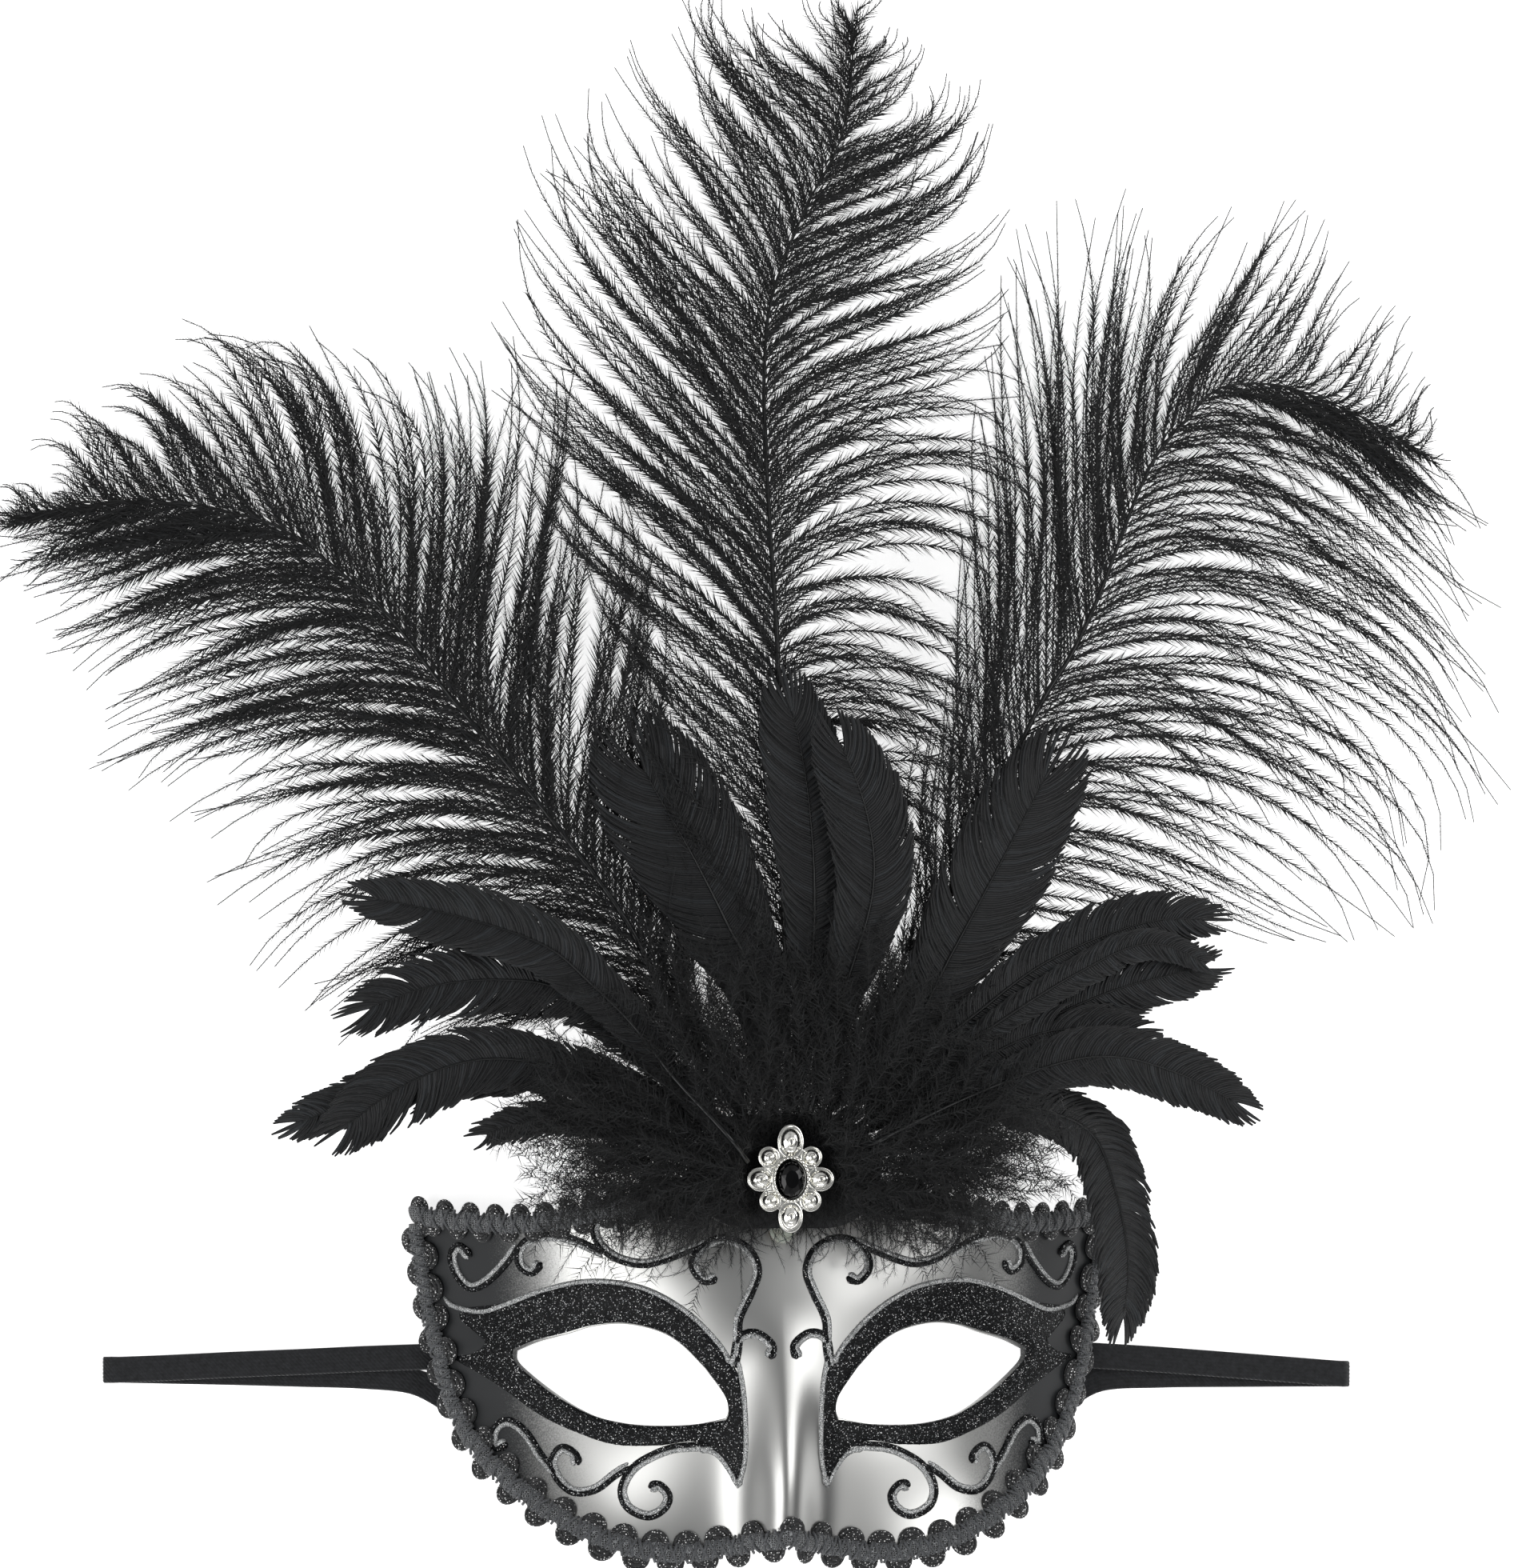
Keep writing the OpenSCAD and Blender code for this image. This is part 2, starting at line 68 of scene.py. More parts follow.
# %% [markdown]
# ## Camera
# The camera looks straight down from far away with a long lens, so that near and far parts keep
# their proportions. It stands a little to the left, because the left half of the mask shows wider
# than the right half, and it aims at a point between the plumes to take in the whole spray.

# %% Camera
YAW = math.radians(7.5)
VIEW_DISTANCE = 4.0
VIEW_HEIGHT = 0.3612
CAMERA_AIM = Vector((-0.0028, 0.1356, 0.02))

scene = bpy.context.scene


def put(name, data):
    """A new object in the scene."""
    made = bpy.data.objects.new(name, data)
    scene.collection.objects.link(made)
    return made


camera_data = bpy.data.cameras.new("camera")
camera = put("camera", camera_data)
camera.location = CAMERA_AIM + VIEW_DISTANCE * Vector((-math.sin(YAW), 0, math.cos(YAW)))
camera.rotation_euler = (0, -YAW, 0)
camera_data.sensor_fit = "VERTICAL"
camera_data.sensor_height = 24
camera_data.lens = camera_data.sensor_height / 2 / (VIEW_HEIGHT / 2 / VIEW_DISTANCE)
camera_data.clip_end = 20
scene.camera = camera

# %% [markdown]
# ## Materials: helpers
# Every finish is a small node tree. One function turns a hex colour as a screen shows it into the
# linear values that Blender mixes with. Another adds a node, sets it and links it in one line.


# %% Colour and node helpers
def colour(code):
    """A linear RGBA value from a hex sRGB code."""
    parts = [int(code[i:i + 2], 16) / 255 for i in (1, 3, 5)]
    linear = [c / 12.92 if c <= 0.04045 else ((c + 0.055) / 1.055) ** 2.4 for c in parts]
    return (*linear, 1.0)


def add(tree, kind, settings=None, sockets=None):
    """A node with its settings; each socket takes a value or a link from another socket."""
    made = tree.nodes.new(kind)
    for name, value in (settings or {}).items():
        setattr(made, name, value)
    for name, value in (sockets or {}).items():
        if isinstance(value, bpy.types.NodeSocket):
            tree.links.new(value, made.inputs[name])
        else:
            made.inputs[name].default_value = value
    return made


def new_material(name, sockets):
    """A material with one Principled shader and the values that are the same all over it."""
    material = bpy.data.materials.new(name)
    material.use_nodes = True
    tree = material.node_tree
    shader = tree.nodes["Principled BSDF"]
    for socket, value in sockets.items():
        shader.inputs[socket].default_value = value
    return material, tree, shader


def calc(tree, operation, *values):
    """One sum; each value is a number or a link from another socket."""
    return add(tree, "ShaderNodeMath", {"operation": operation}, dict(enumerate(values))).outputs[0]


def remap(tree, value, low, high, to_low=0.0, to_high=1.0, **settings):
    """A value mapped from low..high to to_low..to_high."""
    made = add(tree, "ShaderNodeMapRange", settings,
               {"Value": value, "From Min": low, "From Max": high, "To Min": to_low,
                "To Max": to_high})
    return made.outputs["Result"]


def ramp(tree, value, low, high, steps):
    """A value mapped from low..high to a ramp of (place, hex colour) steps."""
    made = add(tree, "ShaderNodeValToRGB", None, {"Fac": remap(tree, value, low, high)})
    while len(made.color_ramp.elements) < len(steps):
        made.color_ramp.elements.new(0.5)
    for element, (place, shade) in zip(made.color_ramp.elements, steps):
        element.position = place
        element.color = colour(shade)
    return made.outputs["Color"]


def mix(tree, share, first, second):
    """The first colour where share is 0 and the second where it is 1: sockets or hex colours."""
    first, second = (colour(c) if isinstance(c, str) else c for c in (first, second))
    made = add(tree, "ShaderNodeMix", {"data_type": "RGBA"}, {0: share, 6: first, 7: second})
    return made.outputs[2]


def bump(tree, shader, height, distance_mm, strength=1.0):
    """Adds relief of a real depth, in millimetres, to a shader."""
    made = add(tree, "ShaderNodeBump", None,
               {"Height": height, "Distance": distance_mm * MM, "Strength": strength})
    tree.links.new(made.outputs["Normal"], shader.inputs["Normal"])


def noise(tree, place, grain_mm, detail=3.0):
    """Noise whose blotches are about grain_mm across."""
    made = add(tree, "ShaderNodeTexNoise", None,
               {"Vector": place, "Scale": 1 / (grain_mm * MM), "Detail": detail})
    return made.outputs["Fac"]


def object_place(tree):
    return add(tree, "ShaderNodeTexCoord").outputs["Object"]


def mottled(name, sockets, grain_mm, detail, dark, light, depth_mm=0.0):
    """A material blotched between two shades, with relief of the same grain where depth is given."""
    material, tree, shader = new_material(name, sockets)
    blotches = noise(tree, object_place(tree), grain_mm, detail)
    tree.links.new(ramp(tree, blotches, 0.3, 0.7, [(0, dark), (1, light)]),
                   shader.inputs["Base Color"])
    if depth_mm:
        bump(tree, shader, blotches, depth_mm)
    return material


def fit(pieces, body, node_name):
    """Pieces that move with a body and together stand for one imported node."""
    for piece in pieces:
        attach(piece, body)
        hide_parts(node_name)


# %% [markdown]
# ## Table and studio light
# A white table and three large soft boxes give plain, almost shadowless light. The sky is grey
# overhead, bright half way down, and dark again at the left and right horizon. The lacquered
# shell mirrors it, which draws the streaks beside the nose ridge.

# %% Table and lights
TABLE_SIZE = 6.0
table_mesh = bpy.data.meshes.new("table")
half = TABLE_SIZE / 2
table_mesh.from_pydata([(-half, -half, TABLE_Z), (half, -half, TABLE_Z),
                        (half, half, TABLE_Z), (-half, half, TABLE_Z)], [], [(0, 1, 2, 3)])
table = put("table", table_mesh)
table_mesh.materials.append(mottled(
    "white_table_paint", {"Roughness": 0.9, "Specular IOR Level": 0.1, "Emission Strength": 0.72,
                          "Emission Color": colour("#FFFFFF")}, 40, 3.0, "#F6F6F6", "#FAFAFA"))


LIGHT_AIM = Vector((0, 0.1, 0))


def soft_box(name, place, size, power):
    light = bpy.data.lights.new(name, "AREA")
    light.shape = "RECTANGLE"
    light.size, light.size_y = size
    light.energy = power
    box = put(name, light)
    box.location = place
    box.rotation_euler = (LIGHT_AIM - Vector(place)).to_track_quat("-Z", "Y").to_euler()


soft_box("soft_box_left", (-1.5, -0.3, 1.5), (1.2, 1.6), 18)
soft_box("soft_box_right", (1.3, 0.5, 1.7), (1.0, 1.6), 15)
soft_box("soft_box_low", (0.1, -1.7, 1.1), (1.6, 0.6), 8)

world = bpy.data.worlds.new("studio")
scene.world = world
world.use_nodes = True
sky = world.node_tree
level = add(sky, "ShaderNodeVectorMath", {"operation": "MULTIPLY"},
            {0: add(sky, "ShaderNodeTexCoord").outputs["Generated"], 1: (1, 0.4, 0)})
sideways = add(sky, "ShaderNodeVectorMath", {"operation": "LENGTH"}, {0: level.outputs[0]})
sky_colour = ramp(sky, sideways.outputs["Value"], 0.0, 1.0,
                  [(0, "#858789"), (0.14, "#727476"), (0.34, "#D2D2D2"), (0.7, "#DCDCDC"),
                   (0.9, "#5C5D5F"), (1, "#404143")])
# the studio wall behind the table is pale, whatever the lacquer mirrors
seen = add(sky, "ShaderNodeLightPath").outputs["Is Camera Ray"]
sky.links.new(mix(sky, seen, sky_colour, "#F4F4F4"), sky.nodes["Background"].inputs["Color"])
sky.nodes["Background"].inputs["Strength"].default_value = 0.8
scene.view_settings.view_transform = "Standard"

# %% [markdown]
# ## Curves and the shell's surface
# The outlines are smooth curves through a few points. The shell's front is a formula: it curves
# round from the temples to the forehead, with a nose ridge and two shallow eye sockets. The same
# formula places everything that is glued or painted on it, so nothing floats or sinks in.


# %% Curve helpers
def along(points, s):
    """Points of a smooth curve through a list of points, at shares s from 0 to 1."""
    points = np.asarray(points, float)
    s = np.atleast_1d(s)
    n = len(points) - 1
    k = np.minimum(n - 1, np.floor(s * n).astype(int))
    t = (s * n - k)[:, None]
    a, b = points[np.maximum(0, k - 1)], points[k]
    c, d = points[k + 1], points[np.minimum(n, k + 2)]
    return (2 * b + (c - a) * t + (2 * a - 5 * b + 4 * c - d) * t ** 2
            + (3 * b - a - 3 * c + d) * t ** 3) / 2


def even(points, step):
    """Points about one step apart along a dense line."""
    points = np.asarray(points, float)
    length = np.r_[0, np.cumsum(np.linalg.norm(np.diff(points, axis=0), axis=1))]
    count = max(2, int(round(length[-1] / step)) + 1)
    places = np.linspace(0, length[-1], count)
    return np.column_stack([np.interp(places, length, axis) for axis in points.T])


def unit(vectors):
    return vectors / np.maximum(np.linalg.norm(vectors, axis=-1, keepdims=True), 1e-12)


def headings(points):
    return unit(np.gradient(points, axis=0))


def flip_x(points):
    return np.asarray(points, float) * ([-1, 1] if np.shape(points)[1] == 2 else [-1, 1, 1])


def smooth(low, high, v):
    t = np.clip((v - low) / (high - low), 0, 1)
    return t * t * (3 - 2 * t)


def bell(v, w):
    return np.exp(-(v / w) ** 2)


# %% Shell surface, in millimetres
CROWN_HEIGHT = 44.0
NOSE_HEIGHT = 10.0
SOCKET_DEPTH = 3.0
SHELL_WALL = 1.4


def front_z(x, y):
    rim = 4 + 4.5 * (1 - smooth(4, 14, y)) + 0.02 * np.maximum(0, -5 - y) ** 2
    crown = CROWN_HEIGHT - 0.002 * (y - 5) ** 2
    side = 80 - 0.19 * (38 - y)
    nose = NOSE_HEIGHT * bell(x, 8) * (1 - smooth(-30, 18, y))
    socket = SOCKET_DEPTH * bell(np.abs(x) - 36, 22) * bell(y, 13)
    return rim + (crown - rim) * (1 - (np.abs(x) / side) ** 2.3) + nose - socket


def front_normal(p):
    x, y = p[:, 0], p[:, 1]
    return unit(np.column_stack([front_z(x - 0.5, y) - front_z(x + 0.5, y),
                                 front_z(x, y - 0.5) - front_z(x, y + 0.5), np.ones(len(p))]))


def lift(p, h):
    """The front surface over p = [x, y], moved h along its normal."""
    p = np.asarray(p, float)
    base = np.column_stack([p, front_z(p[:, 0], p[:, 1])])
    return base + front_normal(p) * (np.reshape(h, (-1, 1)) if np.ndim(h) else h)


TOP_EDGE = [(0, 41.5), (20, 41.5), (37, 39.7), (50, 36.5), (64, 35.6), (81, 37.5)]
SIDE_EDGE = [(81, 37.5), (79.2, 28), (76.2, 10), (72.6, -5.5), (66.5, -18.5), (55.5, -30),
             (41, -38.4), (25, -41.7), (10, -39.7), (0, -37.8)]
NOSE_LINE = [(0, -37.8), (0, -11), (0, 41.5)]
EYE_TOP = [(17.7, 1.7), (23.3, 7.4), (28.8, 10.4), (36, 11.8), (42.5, 11.1), (48, 9.4),
           (54.5, 7.6), (59.2, 5.4)]
EYE_LOW = [(59.2, 5.4), (59, 2.8), (56.3, 0), (50.8, -4.3), (45.2, -7.8), (39.8, -10),
           (31.5, -11.3), (20.6, -11.1), (13.1, -9.6)]
EYE_NOSE = [(13.1, -9.6), (12.5, -7.6), (13.4, -4.3), (17.7, 1.7)]


def ring_of(parts, steps):
    """One closed outline from open curves, with a number of steps on each."""
    return np.vstack([along(part, np.arange(n) / n) for part, n in zip(parts, steps)])


# %% Mesh helpers
def new_piece(name, points_mm, faces, material, shade=True):
    """A mesh object from points in millimetres, at the origin, with one material."""
    mesh = bpy.data.meshes.new(name)
    mesh.from_pydata((np.asarray(points_mm, float) * MM).tolist(), [], faces)
    mesh.validate()
    mesh.update()
    if material:
        mesh.materials.append(material)
    mesh.shade_smooth() if shade else mesh.shade_flat()
    return put(name, mesh)


def loft_faces(rows, sides, closed_ends=True):
    """Faces of a tube made of rows of points, each row a closed ring."""
    faces = [(k * sides + i, k * sides + (i + 1) % sides, (k + 1) * sides + (i + 1) % sides,
              (k + 1) * sides + i) for k in range(rows - 1) for i in range(sides)]
    if closed_ends:
        faces.append(tuple(range(sides - 1, -1, -1)))
        faces.append(tuple((rows - 1) * sides + i for i in range(sides)))
    return faces


def tube(path, radius, sides=6, up=(0, 0, 1), flat=1.0):
    """Points and faces of a tube along a path; radius may change along it, flat squeezes it."""
    path = np.asarray(path, float)
    forward = headings(path)
    up = np.broadcast_to(np.asarray(up, float), path.shape)
    left = unit(np.cross(up, forward))
    top = np.cross(forward, left)
    turn = 2 * np.pi * np.arange(sides) / sides
    radius = np.broadcast_to(np.reshape(radius, (-1, 1, 1)), (len(path), 1, 1))
    ring = (left[:, None] * np.cos(turn)[None, :, None]
            + top[:, None] * np.sin(turn)[None, :, None] * flat)
    points = (path[:, None] + ring * radius).reshape(-1, 3)
    return points, loft_faces(len(path), sides)


def join_parts(parts):
    """One list of points and faces from several (points, faces) pairs."""
    points, faces, start = [], [], 0
    for p, f in parts:
        points.append(p)
        faces += [tuple(i + start for i in face) for face in f]
        start += len(p)
    return np.vstack(points), faces


def tidy_mesh(piece, merge_mm=0.01, outwards=True):
    """Merges doubled points and, for closed shapes, turns every face outwards."""
    work = bmesh.new()
    work.from_mesh(piece.data)
    bmesh.ops.remove_doubles(work, verts=work.verts, dist=merge_mm * MM)
    if outwards:
        bmesh.ops.recalc_face_normals(work, faces=work.faces)
    work.to_mesh(piece.data)
    work.free()
    piece.data.update()


def triangles(piece):
    piece.data.calc_loop_triangles()
    return len(piece.data.loop_triangles)


# %% [markdown]
# ## Geometry Nodes: three small trees
# Much of this mask is one small thing repeated many times along a path: barbs, braid loops,
# glitter flakes. Three node trees make them. "place_motif" puts a motif on points that carry
# their own directions, "feather_strands" turns guide curves into strands with barbules, and
# "glitter_coat" scatters flakes over a surface. Each ends in real, plain geometry.


# %% Geometry Nodes helpers
def new_tree(name, sockets):
    """A Geometry Nodes tree with named inputs: (name, socket type, default)."""
    tree = bpy.data.node_groups.new(name, "GeometryNodeTree")
    tree.interface.new_socket("Geometry", in_out="INPUT", socket_type="NodeSocketGeometry")
    for label, kind, default in sockets:
        socket = tree.interface.new_socket(label, in_out="INPUT", socket_type=kind)
        if default is not None:
            socket.default_value = default
    tree.interface.new_socket("Geometry", in_out="OUTPUT", socket_type="NodeSocketGeometry")
    return tree, tree.nodes.new("NodeGroupInput").outputs


def finish_tree(tree, geometry, material):
    """Ends a tree in Realize Instances and Set Material."""
    real = add(tree, "GeometryNodeRealizeInstances", None, {"Geometry": geometry})
    coat = add(tree, "GeometryNodeSetMaterial", None,
               {"Geometry": real.outputs[0], "Material": material})
    add(tree, "NodeGroupOutput", None, {"Geometry": coat.outputs[0]})


def shape_of(tree, object_socket):
    return add(tree, "GeometryNodeObjectInfo", None, {"Object": object_socket}).outputs["Geometry"]


def turned(tree, rotation, euler):
    """A rotation with a further turn in its own frame."""
    further = add(tree, "FunctionNodeEulerToRotation", None, {"Euler": euler})
    return add(tree, "FunctionNodeRotateRotation", {"rotation_space": "LOCAL"},
               {"Rotation": rotation, "Rotate By": further.outputs[0]}).outputs[0]


def copies(tree, points, shape, rotation, more=None):
    """Copies of a shape on points."""
    return add(tree, "GeometryNodeInstanceOnPoints", None,
               {"Points": points, "Instance": shape, "Rotation": rotation, **(more or {})}).outputs[0]


def joined(tree, *parts):
    made = add(tree, "GeometryNodeJoinGeometry")
    for part in parts:
        tree.links.new(part, made.inputs[0])
    return made.outputs[0]


def grow(guide, tree, inputs, name):
    """Runs a tree on a guide object and returns the plain mesh that it makes."""
    modifier = guide.modifiers.new(tree.name, "NODES")
    modifier.node_group = tree
    for item in tree.interface.items_tree:
        if item.item_type == "SOCKET" and item.in_out == "INPUT" and item.name in inputs:
            modifier[item.identifier] = inputs[item.name]
    guide.update_tag()
    depsgraph = bpy.context.evaluated_depsgraph_get()
    mesh = bpy.data.meshes.new_from_object(guide.evaluated_get(depsgraph), depsgraph=depsgraph)
    mesh.name = name
    bpy.data.objects.remove(guide)
    piece = put(name, mesh)
    print(name, triangles(piece), "triangles")
    return piece


def hidden(piece):
    """Takes a motif itself out of the scene; only its copies show."""
    for collection in list(piece.users_collection):
        collection.objects.unlink(piece)
    return piece


# %% Tree: a motif on points that carry their directions
motif_tree, inp = new_tree("place_motif", [
    ("Motif", "NodeSocketObject", None), ("Material", "NodeSocketMaterial", None)])


def direction(name):
    return add(motif_tree, "GeometryNodeInputNamedAttribute", {"data_type": "FLOAT_VECTOR"},
               {"Name": name}).outputs["Attribute"]


turn = add(motif_tree, "FunctionNodeAxesToRotation", {"primary_axis": "Z", "secondary_axis": "X"},
           {"Primary Axis": direction("out"), "Secondary Axis": direction("ahead")})
placed = copies(motif_tree, inp["Geometry"], shape_of(motif_tree, inp["Motif"]), turn.outputs[0])
finish_tree(motif_tree, placed, inp["Material"])


def place_motif(name, motif_piece, points, out, ahead, material):
    """Copies of a motif at points in millimetres: its Z along out and its X along ahead."""
    guide = new_piece(name + "_guide", points, [], None)
    for label, values in (("out", out), ("ahead", ahead)):
        values = np.broadcast_to(np.asarray(values, float), (len(points), 3))
        made = guide.data.attributes.new(label, "FLOAT_VECTOR", "POINT")
        made.data.foreach_set("vector", np.ascontiguousarray(values, np.float32).ravel())
    return grow(guide, motif_tree, {"Motif": motif_piece, "Material": material}, name)


# %% Tree: strands with barbules, from guide curves
strand_tree, inp = new_tree("feather_strands", [
    ("Flatness", "NodeSocketFloat", 0.5), ("Barbule Spacing", "NodeSocketFloat", 0.0004),
    ("Barbule", "NodeSocketObject", None), ("Barbule Angle", "NodeSocketFloat", 0.55),
    ("Barbule Scatter", "NodeSocketFloat", 0.25), ("Shortest", "NodeSocketFloat", 0.6),
    ("Tip Radius", "NodeSocketFloat", 0.0), ("Full Radius", "NodeSocketFloat", 0.000001),
    ("Strand Seed", "NodeSocketInt", 1), ("Material", "NodeSocketMaterial", None)])
level = add(strand_tree, "GeometryNodeSetCurveNormal", {"mode": "Z_UP"}, {"Curve": inp["Geometry"]})
profile = add(strand_tree, "GeometryNodeCurvePrimitiveCircle", {"mode": "RADIUS"},
              {"Resolution": 4, "Radius": 1.0})
squeeze = add(strand_tree, "ShaderNodeCombineXYZ", None, {"X": 1.0, "Y": inp["Flatness"], "Z": 1.0})
flat_profile = add(strand_tree, "GeometryNodeTransform", None,
                   {"Geometry": profile.outputs["Curve"], "Scale": squeeze.outputs[0]})
radius = add(strand_tree, "GeometryNodeInputRadius")
strand = add(strand_tree, "GeometryNodeCurveToMesh", None,
             {"Curve": level.outputs[0], "Profile Curve": flat_profile.outputs[0],
              "Scale": radius.outputs[0], "Fill Caps": True})
stations = add(strand_tree, "GeometryNodeCurveToPoints", {"mode": "LENGTH"},
               {"Curve": level.outputs[0], "Length": inp["Barbule Spacing"]})


def random_value(tree, low, high, seed, offset):
    made = add(tree, "FunctionNodeRandomValue", {"data_type": "FLOAT"},
               {"Seed": calc(tree, "ADD", seed, offset)})
    for socket, value in zip([s for s in made.inputs if s.enabled and s.name in ("Min", "Max")],
                             (low, high)):
        if isinstance(value, bpy.types.NodeSocket):
            tree.links.new(value, socket)
        else:
            socket.default_value = value
    return [s for s in made.outputs if s.enabled][0]


# the strand's own thickness says how near its tip a barbule is: thin strand, short barbule
near_tip = remap(strand_tree, radius.outputs[0], inp["Tip Radius"], inp["Full Radius"], 0.2, 1.0)
barbules = []
for side in (-1, 1):
    scatter = random_value(strand_tree, -1.0, 1.0, inp["Strand Seed"], 10.0 + side)
    lean = calc(strand_tree, "MULTIPLY_ADD", scatter, inp["Barbule Scatter"], inp["Barbule Angle"])
    roll = random_value(strand_tree, -0.7, 0.7, inp["Strand Seed"], 20.0 + side)
    spin = add(strand_tree, "ShaderNodeCombineXYZ", None,
               {"X": roll, "Y": calc(strand_tree, "MULTIPLY", lean, float(side)), "Z": 0.0})
    length = random_value(strand_tree, inp["Shortest"], 1.0, inp["Strand Seed"], 30.0 + side)
    barbules.append(copies(
        strand_tree, stations.outputs["Points"], shape_of(strand_tree, inp["Barbule"]),
        turned(strand_tree, stations.outputs["Rotation"], spin.outputs[0]),
        {"Scale": calc(strand_tree, "MULTIPLY", length, near_tip)}))
finish_tree(strand_tree, joined(strand_tree, strand.outputs[0], *barbules), inp["Material"])


def strand_curves(name, lines, radii):
    """A curve object with one poly spline for each line of points in millimetres."""
    data = bpy.data.curves.new(name, "CURVE")
    data.dimensions = "3D"
    for line, r in zip(lines, radii):
        spline = data.splines.new("POLY")
        spline.points.add(len(line) - 1)
        spline.points.foreach_set("co", np.column_stack([line * MM, np.ones(len(line))]).ravel())
        spline.points.foreach_set("radius", np.asarray(r, float) * MM)
    return put(name, data)


# %% Tree: glitter flakes over a surface
glitter_tree, inp = new_tree("glitter_coat", [
    ("Flake", "NodeSocketObject", None), ("Flakes Per Square Metre", "NodeSocketFloat", 3e6),
    ("Flake Seed", "NodeSocketInt", 1), ("Material", "NodeSocketMaterial", None)])
facing = add(glitter_tree, "ShaderNodeSeparateXYZ", None,
             {"Vector": add(glitter_tree, "GeometryNodeInputNormal").outputs[0]})
upwards = add(glitter_tree, "FunctionNodeCompare",
              {"data_type": "FLOAT", "operation": "GREATER_THAN"}, {0: facing.outputs["Z"], 1: 0.05})
scatter = add(glitter_tree, "GeometryNodeDistributePointsOnFaces", None,
              {"Mesh": inp["Geometry"], "Selection": upwards.outputs[0],
               "Density": inp["Flakes Per Square Metre"], "Seed": inp["Flake Seed"]})
tilt = add(glitter_tree, "FunctionNodeRandomValue", {"data_type": "FLOAT_VECTOR"},
           {0: (-0.55, -0.55, -3.1), 1: (0.55, 0.55, 3.1), "Seed": inp["Flake Seed"]})
# the material tells the flakes from the glue under them by this mark
marked = add(glitter_tree, "GeometryNodeStoreNamedAttribute",
             {"data_type": "FLOAT", "domain": "POINT"},
             {"Geometry": shape_of(glitter_tree, inp["Flake"]), "Name": "is_flake", "Value": 1.0})
flakes = copies(glitter_tree, scatter.outputs["Points"], marked.outputs["Geometry"],
                turned(glitter_tree, scatter.outputs["Rotation"], tilt.outputs[0]))
finish_tree(glitter_tree, joined(glitter_tree, inp["Geometry"], flakes), inp["Material"])

# %% [markdown]
# ## The elastic head band
# A flat black elastic, 6 mm wide, leaves both temples. It is folded flat at each side and runs
# back behind the mask, on the table. Its weave shows as seven ribs along its length, so
# the strip is swept with a ribbed section. Fine cross threads are left to the material.

# %% Elastic material
elastic_black, tree, shader = new_material(
    "black_braided_elastic", {"Roughness": 0.82, "Sheen Weight": 0.25, "Sheen Roughness": 0.5,
                              "Specular IOR Level": 0.3})
place = object_place(tree)
# cross threads every 0.5 mm, as a tight braid has
threads = add(tree, "ShaderNodeTexWave", {"wave_type": "BANDS", "bands_direction": "DIAGONAL"},
              {"Vector": place, "Scale": 0.31 / (0.5 * MM), "Distortion": 1.5})
tree.links.new(ramp(tree, noise(tree, place, 1.2), 0.3, 0.7,
                    [(0, "#141517"), (1, "#232427")]), shader.inputs["Base Color"])
bump(tree, shader, threads.outputs["Fac"], 0.08)

# %% Elastic strip
BAND_W = 6.0
BAND_T = 0.8
BAND_RIBS = 7
BAND_ROUTE = np.array([
    (-67, 3.8, 11), (-72, 3.6, 5.2), (-79, 3.4, 3.8), (-92, 3, 3.4), (-106, 2.4, 3.2),
    (-122, 1.8, 3), (-138, 1.1, 2.9), (-150, 0.7, 2.8), (-152.2, 0.7, 2.2), (-152.5, 0.7, 1.6),
    (-152.2, 0.7, 1), (-150, 0.7, 0.5), (-138, 0.4, 0.5), (-122, 0, 0.5), (-106, -0.5, 0.5),
    (-92, -1, 0.5), (-80, -2.4, 0.5), (-71, -7, 0.5), (-62, -11.5, 0.5), (-50, -15, 0.5),
    (-38, -17, 0.5), (-20, -18, 0.5), (0, -18, 0.5), (20, -18, 0.5), (38, -17, 0.5),
    (50, -15, 0.5), (62, -11.5, 0.5), (71, -7, 0.5), (80, -2.4, 0.5), (94, -1.6, 0.5),
    (114, -1.5, 0.5), (135.7, -1.5, 0.5), (138, -1.5, 1), (138.3, -1.5, 1.6), (138, -1.5, 2.2),
    (135.7, -1.4, 2.8), (114, 0.4, 3), (94, 2, 3.3), (79, 3, 3.8), (72, 3.4, 5.2), (67, 3.8, 11)])
band_line = even(along(BAND_ROUTE, np.linspace(0, 1, 1200)), 1.0)
band_line = band_line[np.r_[0:len(band_line):2]]
ahead = headings(band_line)
left = unit(np.array([0, 1, 0]) - ahead * ahead[:, 1:2])
top = np.cross(ahead, left)
SECTION_STEPS = 4 * BAND_RIBS
across = np.linspace(-1, 1, SECTION_STEPS + 1)
rib = BAND_T / 2 * (0.72 + 0.28 * np.abs(np.sin(np.pi * BAND_RIBS * (across + 1) / 2)))
rib *= np.sqrt(np.clip(1 - np.abs(across) ** 12, 0.05, 1))
section = np.vstack([np.column_stack([across * BAND_W / 2, rib]),
                     np.column_stack([across[::-1] * BAND_W / 2, -rib[::-1]])])
rows = (band_line[:, None] + left[:, None] * section[None, :, :1]
        - top[:, None] * section[None, :, 1:])
band = new_piece("elastic_band_strip", rows.reshape(-1, 3),
                 loft_faces(len(rows), len(section)), elastic_black)
tidy_mesh(band)
band_length = np.linalg.norm(np.diff(band_line, axis=0), axis=1).sum()
print("elastic", round(band_length, 1), "mm", triangles(band), "triangles")
fit([band], "mask", "elastic_band")

